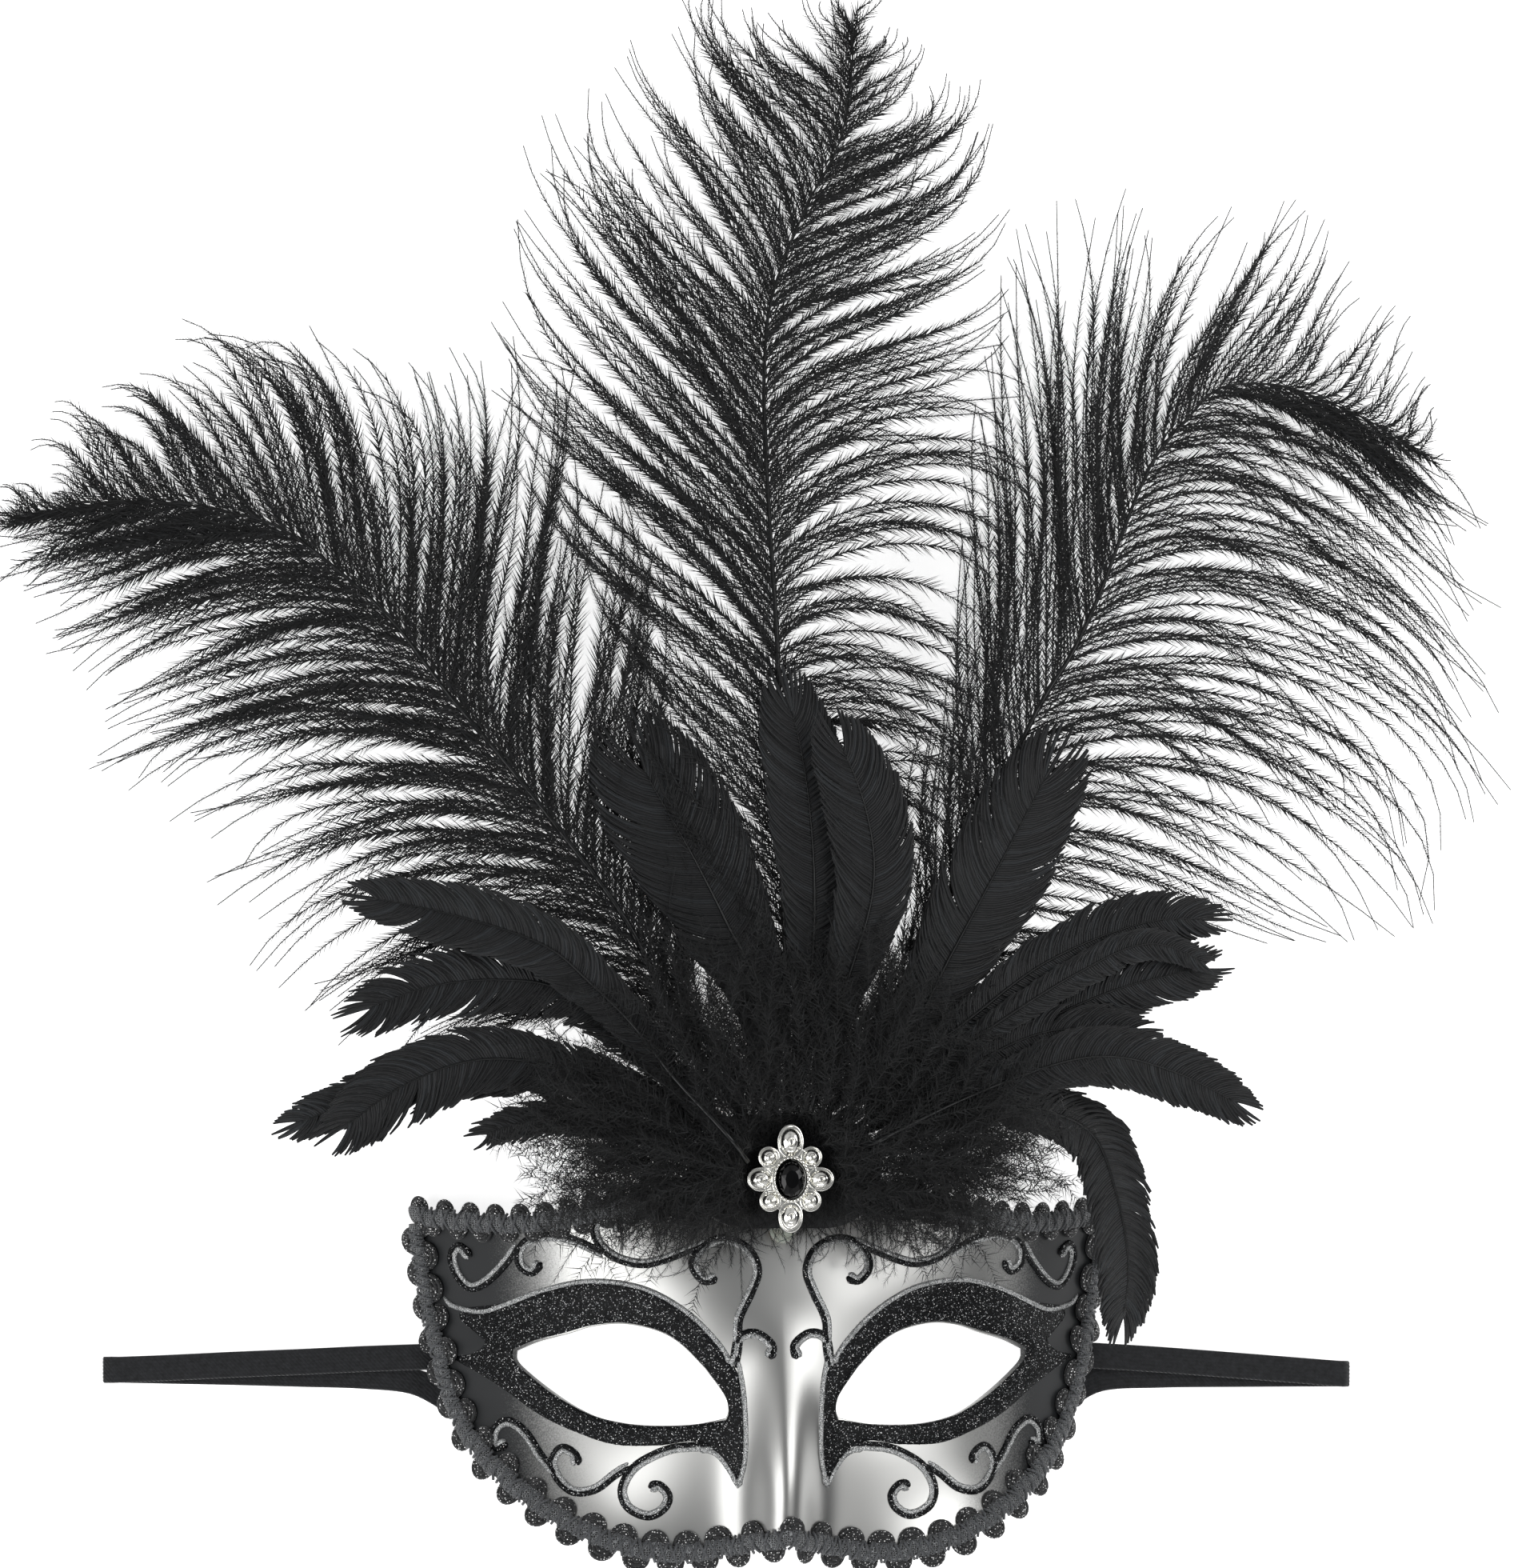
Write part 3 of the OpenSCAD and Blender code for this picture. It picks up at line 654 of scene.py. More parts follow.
# %% [markdown]
# ## The moulded shell
# The shell is vacuum-formed plastic with a satin silver lacquer, airbrushed black over the
# temples. One ring of points runs round each eye and one round the edge; the rows between them
# are laid on the surface formula. Solidify gives the wall, and a small bevel rounds its edges.

# %% Silver lacquer
silver, tree, shader = new_material(
    "satin_silver_lacquer", {"Coat Weight": 0.08, "Coat Roughness": 0.22})
place = object_place(tree)
split = add(tree, "ShaderNodeSeparateXYZ", None, {"Vector": place})
side = calc(tree, "ABSOLUTE", split.outputs["X"])
# the black spray starts nearer the nose at brow height than at cheek height
slant = calc(tree, "MULTIPLY_ADD", split.outputs["Y"], -0.08, side)
# spray droplets, drawn 0.35 mm wide so that they show
sprayed = calc(tree, "MULTIPLY_ADD", noise(tree, place, 0.35, 2.0), 0.012, slant)
spray = remap(tree, sprayed, 0.050, 0.068, interpolation_type="SMOOTHSTEP")
tree.links.new(mix(tree, spray, "#B6B6B4", "#1B1D1F"), shader.inputs["Base Color"])
tree.links.new(remap(tree, spray, 0.0, 1.0, 1.0, 0.15), shader.inputs["Metallic"])
tree.links.new(remap(tree, spray, 0.0, 1.0, 0.33, 0.55), shader.inputs["Roughness"])
# faint orange peel, about 1.5 mm from dimple to dimple
bump(tree, shader, noise(tree, place, 1.5, 2.0), 0.004)

# %% Shell mesh
SHELL_STEPS = (54, 100, 48)
SHELL_ROWS = 26
eye_ring = ring_of((EYE_TOP, EYE_LOW, EYE_NOSE), SHELL_STEPS)
edge_ring = ring_of((TOP_EDGE, SIDE_EDGE, NOSE_LINE), SHELL_STEPS)
ring = len(eye_ring)
shell_parts = []
for mirror in (1, -1):
    flat_rows = [eye_ring + (edge_ring - eye_ring) * j / SHELL_ROWS for j in range(SHELL_ROWS + 1)]
    flat_points = np.vstack(flat_rows) * [mirror, 1]
    faces = [(j * ring + i, (j + 1) * ring + i, (j + 1) * ring + (i + 1) % ring,
              j * ring + (i + 1) % ring) for j in range(SHELL_ROWS) for i in range(ring)]
    faces = [face[::-1] if mirror > 0 else face for face in faces]
    shell_parts.append((lift(flat_points, 0.0), faces))
shell = new_piece("mask_shell_lacquered", *join_parts(shell_parts), silver)
tidy_mesh(shell, outwards=False)
wall = shell.modifiers.new("wall", "SOLIDIFY")
wall.thickness = SHELL_WALL * MM
wall.offset = -1
wall.use_even_offset = False
rounding = shell.modifiers.new("rounding", "BEVEL")
rounding.width = 0.35 * MM
rounding.segments = 2
rounding.limit_method = "ANGLE"
rounding.angle_limit = math.radians(60)
fit([shell], "mask", "mask_shell")

# %% [markdown]
# ## Glitter
# Glitter glue is a raised bead full of tiny flakes. The bead is a low ridge swept on the shell,
# and the flakes are real: thousands of four-sided flakes 0.26 mm from corner to corner, each
# tilted its own way, so that they catch the light one by one. Each has a shade of its own.


# %% Glitter materials and the flake
def glitter_material(name, shades, rough_value, grain_range):
    material, tree, shader = new_material(name, {"Roughness": rough_value, "Specular IOR Level": 0.12})
    island = add(tree, "ShaderNodeNewGeometry").outputs["Random Per Island"]
    # grains 0.2 mm across, so that the glue between the flakes sparkles too
    grains = noise(tree, object_place(tree), 0.2, 1.0)
    is_flake = add(tree, "ShaderNodeAttribute", {"attribute_name": "is_flake"})
    shade = mix(tree, is_flake.outputs["Fac"], ramp(tree, grains, *grain_range, shades),
                ramp(tree, island, 0.0, 1.0, shades))
    tree.links.new(shade, shader.inputs["Base Color"])
    # only the bright flakes are bare metal; the dark ones are dyed
    tree.links.new(remap(tree, shade, 0.03, 0.4, 0.0, 0.5), shader.inputs["Metallic"])
    bump(tree, shader, grains, 0.08)
    return material


black_glitter = glitter_material("black_glitter_glue", [
    (0, "#060708"), (0.66, "#0D0E10"), (0.82, "#8E9194"), (1, "#FFFFFF")], 0.3, (0.35, 0.85))
silver_glitter = glitter_material("silver_glitter_glue", [
    (0, "#1E1F20"), (0.35, "#5C5E5F"), (0.7, "#A0A2A2"), (1, "#FFFFFF")], 0.28, (0.1, 0.7))

FLAKE_R = 0.13
BEAD_SIDES = 8
BEAD_TAPER = 2.0
DROP_SIZE = 0.8
flake_motif = hidden(new_piece("flake", [
    (FLAKE_R, 0, 0.05), (0, FLAKE_R, 0.05), (-FLAKE_R, 0, 0.05), (0, -FLAKE_R, 0.05),
    (0, 0, 0.0)], [(0, 1, 2, 3), (1, 0, 4), (2, 1, 4), (3, 2, 4), (0, 3, 4)], None, shade=False))


def coat(piece, per_mm2, seed, material, name):
    """Covers a ridge with flakes."""
    return grow(piece, glitter_tree, {
        "Flake": flake_motif, "Flakes Per Square Metre": per_mm2 * 1e6, "Flake Seed": seed,
        "Material": material}, name)


def ridge(path_xy, width, height):
    """Points and faces of a bead of glue on the shell along a path of [x, y]."""
    path_xy = np.asarray(path_xy, float)
    normal = front_normal(path_xy)
    middle = lift(path_xy, 0.05)
    length = np.r_[0, np.cumsum(np.linalg.norm(np.diff(path_xy, axis=0), axis=1))]
    ends = np.clip(np.minimum(length, length[-1] - length) / BEAD_TAPER, 0, 1) ** 0.5
    # every curl ends in a round drop, where the glue ran out of the nozzle
    drop = 1 + DROP_SIZE * bell(length[-1] - length - 0.7 * width, 0.8)
    radius = width / 2 * (0.35 + 0.65 * ends) * drop
    return tube(middle, radius, BEAD_SIDES, normal, 2 * height / width)


# %% Eye surrounds
GLITTER_TOP = [(12.5, 5), (21, 14.4), (29.3, 19.4), (37.5, 21.5), (45.5, 21.5), (53.7, 19.4),
               (61, 16.4), (70, 15)]
GLITTER_LOW = [(70, 15), (70.5, 12.5), (67, 9), (65.5, 7), (68, 4.6), (72, 3.4),
               (67, 0.2), (61.5, -3.5), (53.7, -9.4), (45.5, -13.4), (37.5, -15.9), (28, -16),
               (18.2, -15.5), (10.1, -24.7)]
GLITTER_NOSE = [(10.1, -24.7), (8.5, -20), (8.8, -4), (12.5, 5)]
GLITTER_T = 0.4
SKIN_STEPS = (40, 60, 24)
skin_eye = ring_of((EYE_TOP, EYE_LOW, EYE_NOSE), SKIN_STEPS)
skin_edge = ring_of((GLITTER_TOP, GLITTER_LOW, GLITTER_NOSE), SKIN_STEPS)
# [share of the way from the eye to the outline, height above the shell] of each row of the skin
SKIN_ROWS = [(0.03, -0.3), (0.035, 0.12), (0.08, 0.34), (0.25, GLITTER_T), (0.5, GLITTER_T),
             (0.75, GLITTER_T), (0.93, 0.3), (0.99, 0.08), (1.0, -0.3)]
rows, n = len(SKIN_ROWS), len(skin_eye)
for label, mirror in (("left", -1), ("right", 1)):
    points = np.vstack([lift((skin_eye + (skin_edge - skin_eye) * share) * [mirror, 1], height)
                        for share, height in SKIN_ROWS])
    faces = [(j * n + i, j * n + (i + 1) % n, (j + 1) % rows * n + (i + 1) % n,
              (j + 1) % rows * n + i) for j in range(rows) for i in range(n)]
    surround = new_piece(f"glitter_skin_{label}", points, faces, black_glitter)
    tidy_mesh(surround)
    surround = coat(surround, 7.5, 11 + mirror, black_glitter, f"glitter_eye_{label}_flakes")
    fit([surround], "mask", f"glitter_eye_{label}")

# %% [markdown]
# ## Painted scrolls
# Each scroll is two beads side by side: black glitter on the outside of the curve and silver
# glitter on the inside. The lines are smooth curves through a few points.

# %% Scroll lines
BROW_SCROLLS = [
    [(11.2, 2), (10.4, 7), (10.2, 13), (7.5, 19), (5.8, 24), (7.5, 28.5), (11.5, 31), (15.5, 31),
     (19, 28.5), (20.2, 25), (17.8, 22), (15.2, 23)],
    [(16.2, 31.2), (21.5, 29), (27, 26.8), (32, 25.8), (37.5, 27.2), (41, 30.3), (42, 34),
     (39.5, 36.5), (37.2, 35), (37.2, 32.8)],
    [(40.2, 27.6), (45.2, 30.2), (50, 31.6), (55.2, 31.2), (58, 28.8), (58, 25.2), (55.6, 23.6),
     (54, 26)],
    [(58.6, 30), (61.2, 25.7), (65.1, 21.3), (68.4, 19.8), (71, 22.4), (72.3, 26.6), (71, 29),
     (68.6, 26.6)],
    [(11, 3), (10.2, 8), (8.2, 9.6), (5.5, 9.4), (2.7, 6.9), (3.6, 4.2)]]
CHEEK_SCROLLS = [
    [(15.6, -16.1), (24, -16.6), (29.4, -18.5), (33.7, -21.5), (36, -26), (34.8, -30),
     (30.5, -32), (27, -30.3), (26, -27.5), (28, -25.2), (30, -26)],
    [(34.5, -20.4), (38, -22.8), (42, -25.9), (46.5, -26.6), (49.7, -24.1), (51.1, -20.2),
     (49.2, -17), (46.5, -18.3), (46.1, -20.7)],
    [(49.9, -23.5), (53.5, -19.1), (57, -13.4), (60.6, -11.1), (63.3, -13.3), (63.2, -16.8),
     (60.8, -15.7)]]
# the silver line that edges each eye surround
LINER = [[(73.5, 17.6), (71.5, 15.6), (66, 14.6), (61, 16.4), (53.7, 19.6), (45.5, 21.8),
          (37.5, 21.8), (29.3, 19.7), (21, 14.6), (14.5, 8), (11.4, 3)],
         [(9.9, 4), (8.6, -4), (8.2, -14), (8.5, -20), (9.8, -25.4)],
         [(9.8, -25.4), (12, -21), (15, -17.4), (19, -16.2)]]


BEAD_STEP = 0.45
BEAD_HEIGHT = 0.5


def beads(lines, offset_mm, width, mirror):
    """Ridges beside a set of lines, each moved sideways by offset_mm."""
    parts = []
    for line in lines:
        line = along(line, np.linspace(0, 1, 40 * len(line)))
        line = even(line, BEAD_STEP) * [mirror, 1]
        d = headings(line)
        sideways = np.column_stack([-d[:, 1], d[:, 0]])
        # the curl turns one way, so the black bead keeps to its outside
        bend = np.sign(np.sum(np.cross(d[:-1], d[1:])))
        parts.append(ridge(line - sideways * bend * offset_mm, width, BEAD_HEIGHT))
    return join_parts(parts)


for area, lines in (("brow", BROW_SCROLLS), ("cheek", CHEEK_SCROLLS)):
    for label, mirror in (("left", -1), ("right", 1)):
        for finish, material, offset, width, per_mm2, seed in (
                ("black", black_glitter, 0.5, 1.35, 7, 3),
                ("silver", silver_glitter, -0.45, 1.2, 9, 5)):
            drawn = lines + (LINER if area == "brow" and finish == "silver" else [])
            piece = new_piece("bead", *beads(drawn, offset, width, mirror), material)
            tidy_mesh(piece, 0.001)
            piece = coat(piece, per_mm2, seed, material, f"scrolls_{area}_{label}_{finish}")
            fit([piece], "mask", f"scrolls_{area}_{label}")

# %% [markdown]
# ## Gimp braid
# Gimp is a woven band with cord scallops looped out on both sides in turn. The band and
# one scallop are made once; the scallop is then placed along the edge, alternating sides. The cord
# is black, wrapped with a silver lurex thread that shows as short dashes.

# %% Braid materials
lurex_cord, tree, shader = new_material(
    "black_cord_with_lurex", {"Roughness": 0.6, "Sheen Weight": 0.3, "Sheen Roughness": 0.4})
place = object_place(tree)
# dashes of lurex about 0.6 mm apart
dashes = add(tree, "ShaderNodeTexVoronoi", {"feature": "F1"},
             {"Vector": place, "Scale": 1 / (0.62 * MM), "Randomness": 0.75})
dash = remap(tree, dashes.outputs["Distance"], 0.2, 0.26, 1.0, 0.0)
tree.links.new(mix(tree, dash, "#0F1012", "#F4F4F4"), shader.inputs["Base Color"])
tree.links.new(dash, shader.inputs["Metallic"])
bump(tree, shader, dashes.outputs["Distance"], 0.06)

woven_grey, tree, shader = new_material(
    "grey_woven_gimp", {"Roughness": 0.75, "Sheen Weight": 0.25, "Sheen Roughness": 0.5})
place = object_place(tree)
mesh_holes = add(tree, "ShaderNodeTexVoronoi", {"feature": "DISTANCE_TO_EDGE"},
                 {"Vector": place, "Scale": 1 / (0.5 * MM), "Randomness": 0.6})
tree.links.new(ramp(tree, mesh_holes.outputs["Distance"], 0.02, 0.22,
                    [(0, "#8A8C8E"), (0.35, "#333537"), (1, "#0C0D0E")]),
               shader.inputs["Base Color"])
bump(tree, shader, mesh_holes.outputs["Distance"], 0.15)

wrap_grey = mottled(
    "grey_wrapping_thread", {"Roughness": 0.6, "Sheen Weight": 0.2, "Sheen Roughness": 0.4},
    0.3, 2.0, "#242628", "#5A5C5F", 0.06)

# %% Braid motifs: a scallop of nested cords and one crossing wrap
# radii of the nested cords of a scallop, as shares of its outer radius
SCALLOP_RADII = (0.3, 0.62, 0.93)


def scallop_motif(name, outer):
    parts = []
    for k, share in enumerate(SCALLOP_RADII):
        r = share * outer
        swing = np.linspace(-0.3, math.pi + 0.3, 12)
        rise = 0.45 * np.sin(np.clip(swing, 0, math.pi)) * (1 - 0.35 * k) + 0.18 * (2 - k)
        parts.append(tube(np.column_stack([r * np.cos(swing), r * np.sin(swing), rise]),
                          0.185 * outer, 6))
    return hidden(new_piece(name, *join_parts(parts), lurex_cord))


wrap_parts = []
for lean_x in (-1.0, 1.0):
    reach = np.linspace(-1, 1, 7)
    arc = np.column_stack([reach * lean_x, reach * 2.3, 1.25 * np.sqrt(1.05 - reach ** 2)])
    wrap_parts.append(tube(arc, 0.36, 6))
wrap_motif = hidden(new_piece("wrap", *join_parts(wrap_parts), wrap_grey))

# %% Braid runs
BRAID_INSET = 0.035
WRAP_PITCH = 2.4
BAND_HALF = 2.1
BAND_RISE = 1.1
BAND_SWAY = 0.55
FINE_STEP = 0.5
# heights of the band's middle, the scallops and the wraps above the shell
CORE_LIFT, SCALLOP_LIFT, WRAP_LIFT = 0.9, 0.55, 0.8
SCALLOP_OUT = 1.9
# the run is cut in eighths of a pitch; the scallops of each side start at one of them
PITCH_PARTS = 8
SIDE_STARTS = ((1, 2), (-1, 6))


def braid_half(edge, eye, start):
    s = np.linspace(start, 1, 300)
    return along(edge, s) * (1 - BRAID_INSET) + along(eye, s) * BRAID_INSET


top_half = braid_half(TOP_EDGE, EYE_TOP, 0)
low_half = braid_half(SIDE_EDGE, EYE_LOW, 0.038)
BRAID_RUNS = {
    # name: centre line, pitch and radius of the scallops
    "braid_top": (np.vstack([flip_x(top_half)[::-1], top_half[1:]]), 5.3, 2.4),
    "braid_lower": (np.vstack([low_half, flip_x(low_half)[::-1][1:]]), 7.6, 2.95)}


def on_shell(path, h):
    """Points at height h over a path of [x, y], with the directions out, ahead and left there."""
    out = front_normal(path)
    spots = lift(path, h)
    ahead = headings(spots)
    ahead = unit(ahead - out * np.sum(ahead * out, axis=1)[:, None])
    return spots, out, ahead, np.cross(out, ahead)


for run_name, (run, pitch, outer) in BRAID_RUNS.items():
    motif_piece = scallop_motif(f"{run_name}_scallop", outer)
    fine = even(run, FINE_STEP)
    spots, out, ahead, leftward = on_shell(fine, CORE_LIFT)
    sway = BAND_SWAY * np.sin(2 * np.pi * np.arange(len(fine)) * FINE_STEP / pitch)[:, None]
    core = new_piece(f"{run_name}_core", *tube(spots + leftward * sway, BAND_HALF, 12, out,
                                               BAND_RISE / BAND_HALF), woven_grey)
    tidy_mesh(core, 0.001)
    scallops = []
    for turn_side, shift in SIDE_STARTS:
        line = even(run, pitch / PITCH_PARTS)[shift::PITCH_PARTS]
        spots, out, ahead, leftward = on_shell(line, SCALLOP_LIFT)
        base = spots + leftward * turn_side * SCALLOP_OUT
        # the lowest scallops, at the temples, lie on the table and not in it
        base[:, 2] += 1.0 * (1 - smooth(2, 6, base[:, 2]))
        scallops.append((base, out, ahead * turn_side))
    loops = place_motif(f"{run_name}_scallops", motif_piece,
                        *[np.vstack(column) for column in zip(*scallops)], lurex_cord)
    spots, out, ahead, leftward = on_shell(even(run, WRAP_PITCH)[1:-1], WRAP_LIFT)
    wraps = place_motif(f"{run_name}_wraps", wrap_motif, spots, out, ahead, wrap_grey)
    fit((core, loops, wraps), "mask", run_name)

# %% [markdown]
# ## Brooch
# A cheap bright casting: a scalloped plate with eight domed bosses, each with a tiny hole in
# a raised ring, and a black faceted oval stone inside a ring of milgrain beads. The bosses
# are surfaces of revolution, stretched to ovals, so their highlights curve as on the real casting.

# %% Brooch materials
plated, tree, shader = new_material(
    "bright_chrome_plating", {"Metallic": 1.0, "Base Color": colour("#F2F1EC")})
tarnish = noise(tree, object_place(tree), 2.5)
tree.links.new(remap(tree, tarnish, 0.0, 1.0, 0.08, 0.16), shader.inputs["Roughness"])
bump(tree, shader, tarnish, 0.02)

stone_black = mottled(
    "faceted_black_acrylic", {"Roughness": 0.06, "IOR": 1.49, "Specular IOR Level": 0.35},
    3.0, 3.0, "#020203", "#070708")

# %% Brooch shapes
low, high = (np.array(corner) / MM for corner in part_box("brooch_setting"))
brooch_middle = (low + high) / 2
PLATE_LOW = low[2]
PLATE_T = 1.4
# [x, y, width, height] of each boss about the brooch's centre
BOSSES = [(0, 8.5, 6.2, 8.2), (0, -8.6, 5.8, 7.4), (-6.9, 0, 6.4, 5.6), (6.9, 0, 6.4, 5.6),
          (-5.0, 5, 5.1, 5.1), (4.8, 5, 5.1, 5.1), (-4.7, -4.9, 5.1, 5.1), (4.6, -4.9, 5.1, 5.1)]
# [share of the radius, height above the plate] from rim to hole: bead rim, valley, dome, ring, hole
BOSS_PROFILE = [(1.0, -PLATE_T), (1.0, 0.0), (0.97, 0.28), (0.9, 0.32), (0.84, 0.12), (0.78, 0.1),
                (0.7, 0.55), (0.58, 0.95), (0.44, 1.2), (0.34, 1.28), (0.3, 1.42), (0.25, 1.44),
                (0.2, 1.3), (0.18, 0.5), (0.0, 0.45)]
BOSS_SIDES = 48
RING_SIDES = 64
# the plate, and the seat that holds the stone: profile, width and height
PLATE = [(1.0, -PLATE_T), (1.0, 0.15), (0.95, 0.22), (0.9, 0.15), (0.0, 0.15)], 12.5, 15.5
SEAT = [(1.0, 0.0), (1.0, 1.3), (0.86, 1.3), (0.84, 0.2), (0.0, 0.2)], 8.6, 10.8


def revolve(profile, wide, tall, x, y, z, sides):
    """A stretched surface of revolution with a closed middle."""
    turns = 2 * np.pi * np.arange(sides) / sides
    rows = [np.column_stack([x + r * wide / 2 * np.cos(turns), y + r * tall / 2 * np.sin(turns),
                             np.full(sides, z + h)]) for r, h in profile]
    return np.vstack(rows), loft_faces(len(rows), sides)


cx, cy = brooch_middle[:2]
plate_top = PLATE_LOW + PLATE_T
parts = [revolve(BOSS_PROFILE, w, h, cx + x, cy + y, plate_top, BOSS_SIDES)
         for x, y, w, h in BOSSES]
parts += [revolve(*shape, cx, cy, plate_top, RING_SIDES) for shape in (PLATE, SEAT)]
setting = new_piece("brooch_setting_cast", *join_parts(parts), plated)
tidy_mesh(setting, 0.001)
finish = setting.modifiers.new("rounding", "BEVEL")
finish.width = 0.06 * MM
finish.segments = 2
finish.angle_limit = math.radians(35)

BEADS = 30
BEAD_WIDTH = 0.86
BEAD_RING = (3.85, 4.95, 1.5)
bead_parts = revolve([(0.0, -0.42), (0.71, -0.3), (1, 0), (0.71, 0.3), (0.0, 0.42)],
                     BEAD_WIDTH, BEAD_WIDTH, 0, 0, 0, 10)
bead_motif = hidden(new_piece("bead_motif", *bead_parts, plated))
turns = 2 * np.pi * (np.arange(BEADS) + 0.5) / BEADS
bead_spots = np.column_stack([cx + BEAD_RING[0] * np.cos(turns), cy + BEAD_RING[1] * np.sin(turns),
                              np.full(BEADS, plate_top + BEAD_RING[2])])
milgrain = place_motif("brooch_milgrain_beads", bead_motif, bead_spots, (0, 0, 1), (1, 0, 0), plated)

# %% Stone
STONE_SIDES = 12
STONE_RADII = (3.1, 4.15)
# [share of the size, height] of each ring of the cut, and its turn in half facets
STONE_RINGS = [(0.5, 0.2, 0), (0.97, 1.55, 0), (0.97, 1.8, 0), (0.8, 2.5, 1), (0.5, 2.95, 0)]
stone_rows = []
for share, h, half_turn in STONE_RINGS:
    turns = 2 * np.pi * (np.arange(STONE_SIDES) + half_turn / 2) / STONE_SIDES
    stone_rows.append(np.column_stack([cx + share * STONE_RADII[0] * np.cos(turns),
                                       cy + share * STONE_RADII[1] * np.sin(turns),
                                       np.full(STONE_SIDES, plate_top + h)]))
stone_faces = loft_faces(3, STONE_SIDES, closed_ends=False)
stone_faces.append(tuple(range(STONE_SIDES - 1, -1, -1)))
for lower, upper, lead in ((2, 3, 0), (3, 4, 1)):
    for i in range(STONE_SIDES):
        a, b = (lower * STONE_SIDES + k % STONE_SIDES for k in (i, i + 1))
        c, d = (upper * STONE_SIDES + k % STONE_SIDES for k in (i, i + 1))
        stone_faces += [(a, b, d), (a, d, c)] if lead else [(a, b, c), (b, d, c)]
stone_faces.append(tuple(4 * STONE_SIDES + i for i in range(STONE_SIDES)))
stone = new_piece("brooch_stone_cut", np.vstack(stone_rows), stone_faces, stone_black, shade=False)
tidy_mesh(stone, 0.001)
for piece, node_name, slot_name in ((setting, "brooch_setting", "plated_metal"),
                                    (milgrain, "brooch_milgrain", "plated_metal"),
                                    (stone, "brooch_stone", "black_stone")):
    fit([piece], "mask", node_name)

# %% [markdown]
# ## Felt and hot glue
# Under the spray is a felt pad, and beads of hot glue hold it and the brooch. The packed
# shapes are right as they are, so they stay and only get their finishes.

# %% Felt and glue
felt = mottled(
    "black_pressed_felt", {"Roughness": 0.95, "Sheen Weight": 0.5, "Sheen Roughness": 0.6},
    0.6, 5.0, "#131416", "#2A2B2E", 0.2)
glue = mottled("set_hot_glue", {"Roughness": 0.35, "IOR": 1.48, "Subsurface Weight": 0.2},
               1.5, 3.0, "#B8B4A6", "#D2CFC4", 0.1)
for node_name, material in (("feather_pad", felt), ("band_patch_left", felt),
                            ("band_patch_right", felt), ("pad_glue", glue), ("brooch_glue", glue)):
    data = NODES[node_name].data
    data.materials.clear()
    data.materials.append(material)

# %% [markdown]
# ## Feathers: the layers they lie in
# Every feather follows one shallow bowl that droops away from the brooch, each in its own layer.
# The barbs keep near that layer, with a little spread of their own.

# %% Feather surface
PIVOT = np.array([0.0, 48.0])
DROOP = 0.00071
PLUME_Z = {"left": 50.4, "right": 51.5, "centre": 52.6}
BLADE_Z = 53.9
LAYER_GAP = 1.1
CLEAR_OF_TABLE = 3.5


def droop_z(points, z):
    d = points[..., :2] - PIVOT
    return z - DROOP * np.sum(d * d, axis=-1)


def feather_material(name, dark, light, roughness, sheen):
    """Dyed keratin: near black with a soft sheen, a little lighter from barb to barb."""
    material, tree, shader = new_material(
        name, {"Roughness": roughness, "Sheen Weight": sheen, "Sheen Roughness": 0.45,
               "Specular IOR Level": 0.28, "IOR": 1.54})
    island = add(tree, "ShaderNodeNewGeometry").outputs["Random Per Island"]
    tree.links.new(ramp(tree, island, 0.0, 1.0, [(0, dark), (0.7, dark), (1, light)]),
                   shader.inputs["Base Color"])
    bump(tree, shader, noise(tree, object_place(tree), 1.2, 2.0), 0.05)
    return material


ostrich = feather_material("dyed_ostrich_plume", "#0B0C0D", "#1D1F22", 0.5, 0.06)
coque = feather_material("dyed_coque_vane", "#0F1012", "#1F2225", 0.45, 0.08)
marabou = feather_material("dyed_marabou_down", "#0A0B0C", "#16181A", 0.6, 0.08)
quill_black = feather_material("dyed_quill", "#0F1011", "#2A2B2D", 0.3, 0.0)


def barbule_motif(name, length, width):
    """A tiny closed spike that points along Z."""
    h = width / 2
    points = [(-h, 0, 0), (h, 0, 0), (0, h * 0.8, 0), (0, 0, length)]
    faces = [(0, 2, 1), (0, 1, 3), (1, 2, 3), (2, 0, 3)]
    return hidden(new_piece(name, points, faces, None, shade=False))


down_barbule = barbule_motif("down_barbule", 5.0, 0.26)
wisp_barbule = barbule_motif("wisp_barbule", 2.3, 0.1)
vane_barbule = barbule_motif("vane_barbule", 0.6, 0.1)


def bezier(p0, p1, p2, p3, n):
    t = np.linspace(0, 1, n)[:, None]
    return ((1 - t) ** 3 * p0 + 3 * (1 - t) ** 2 * t * p1 + 3 * (1 - t) * t ** 2 * p2 + t ** 3 * p3)


# %% [markdown]
# ## Ostrich plumes
# An ostrich plume has a long quill with loose barbs on both sides, and each barb carries fine
# barbules of its own, which is why it looks hairy. For each side of a quill, a short list says
# where the tips of the barbs end and which way they point. Barbs in between are blended,
# jittered with a fixed seed, and handed to the strand tree, which grows the barbules.

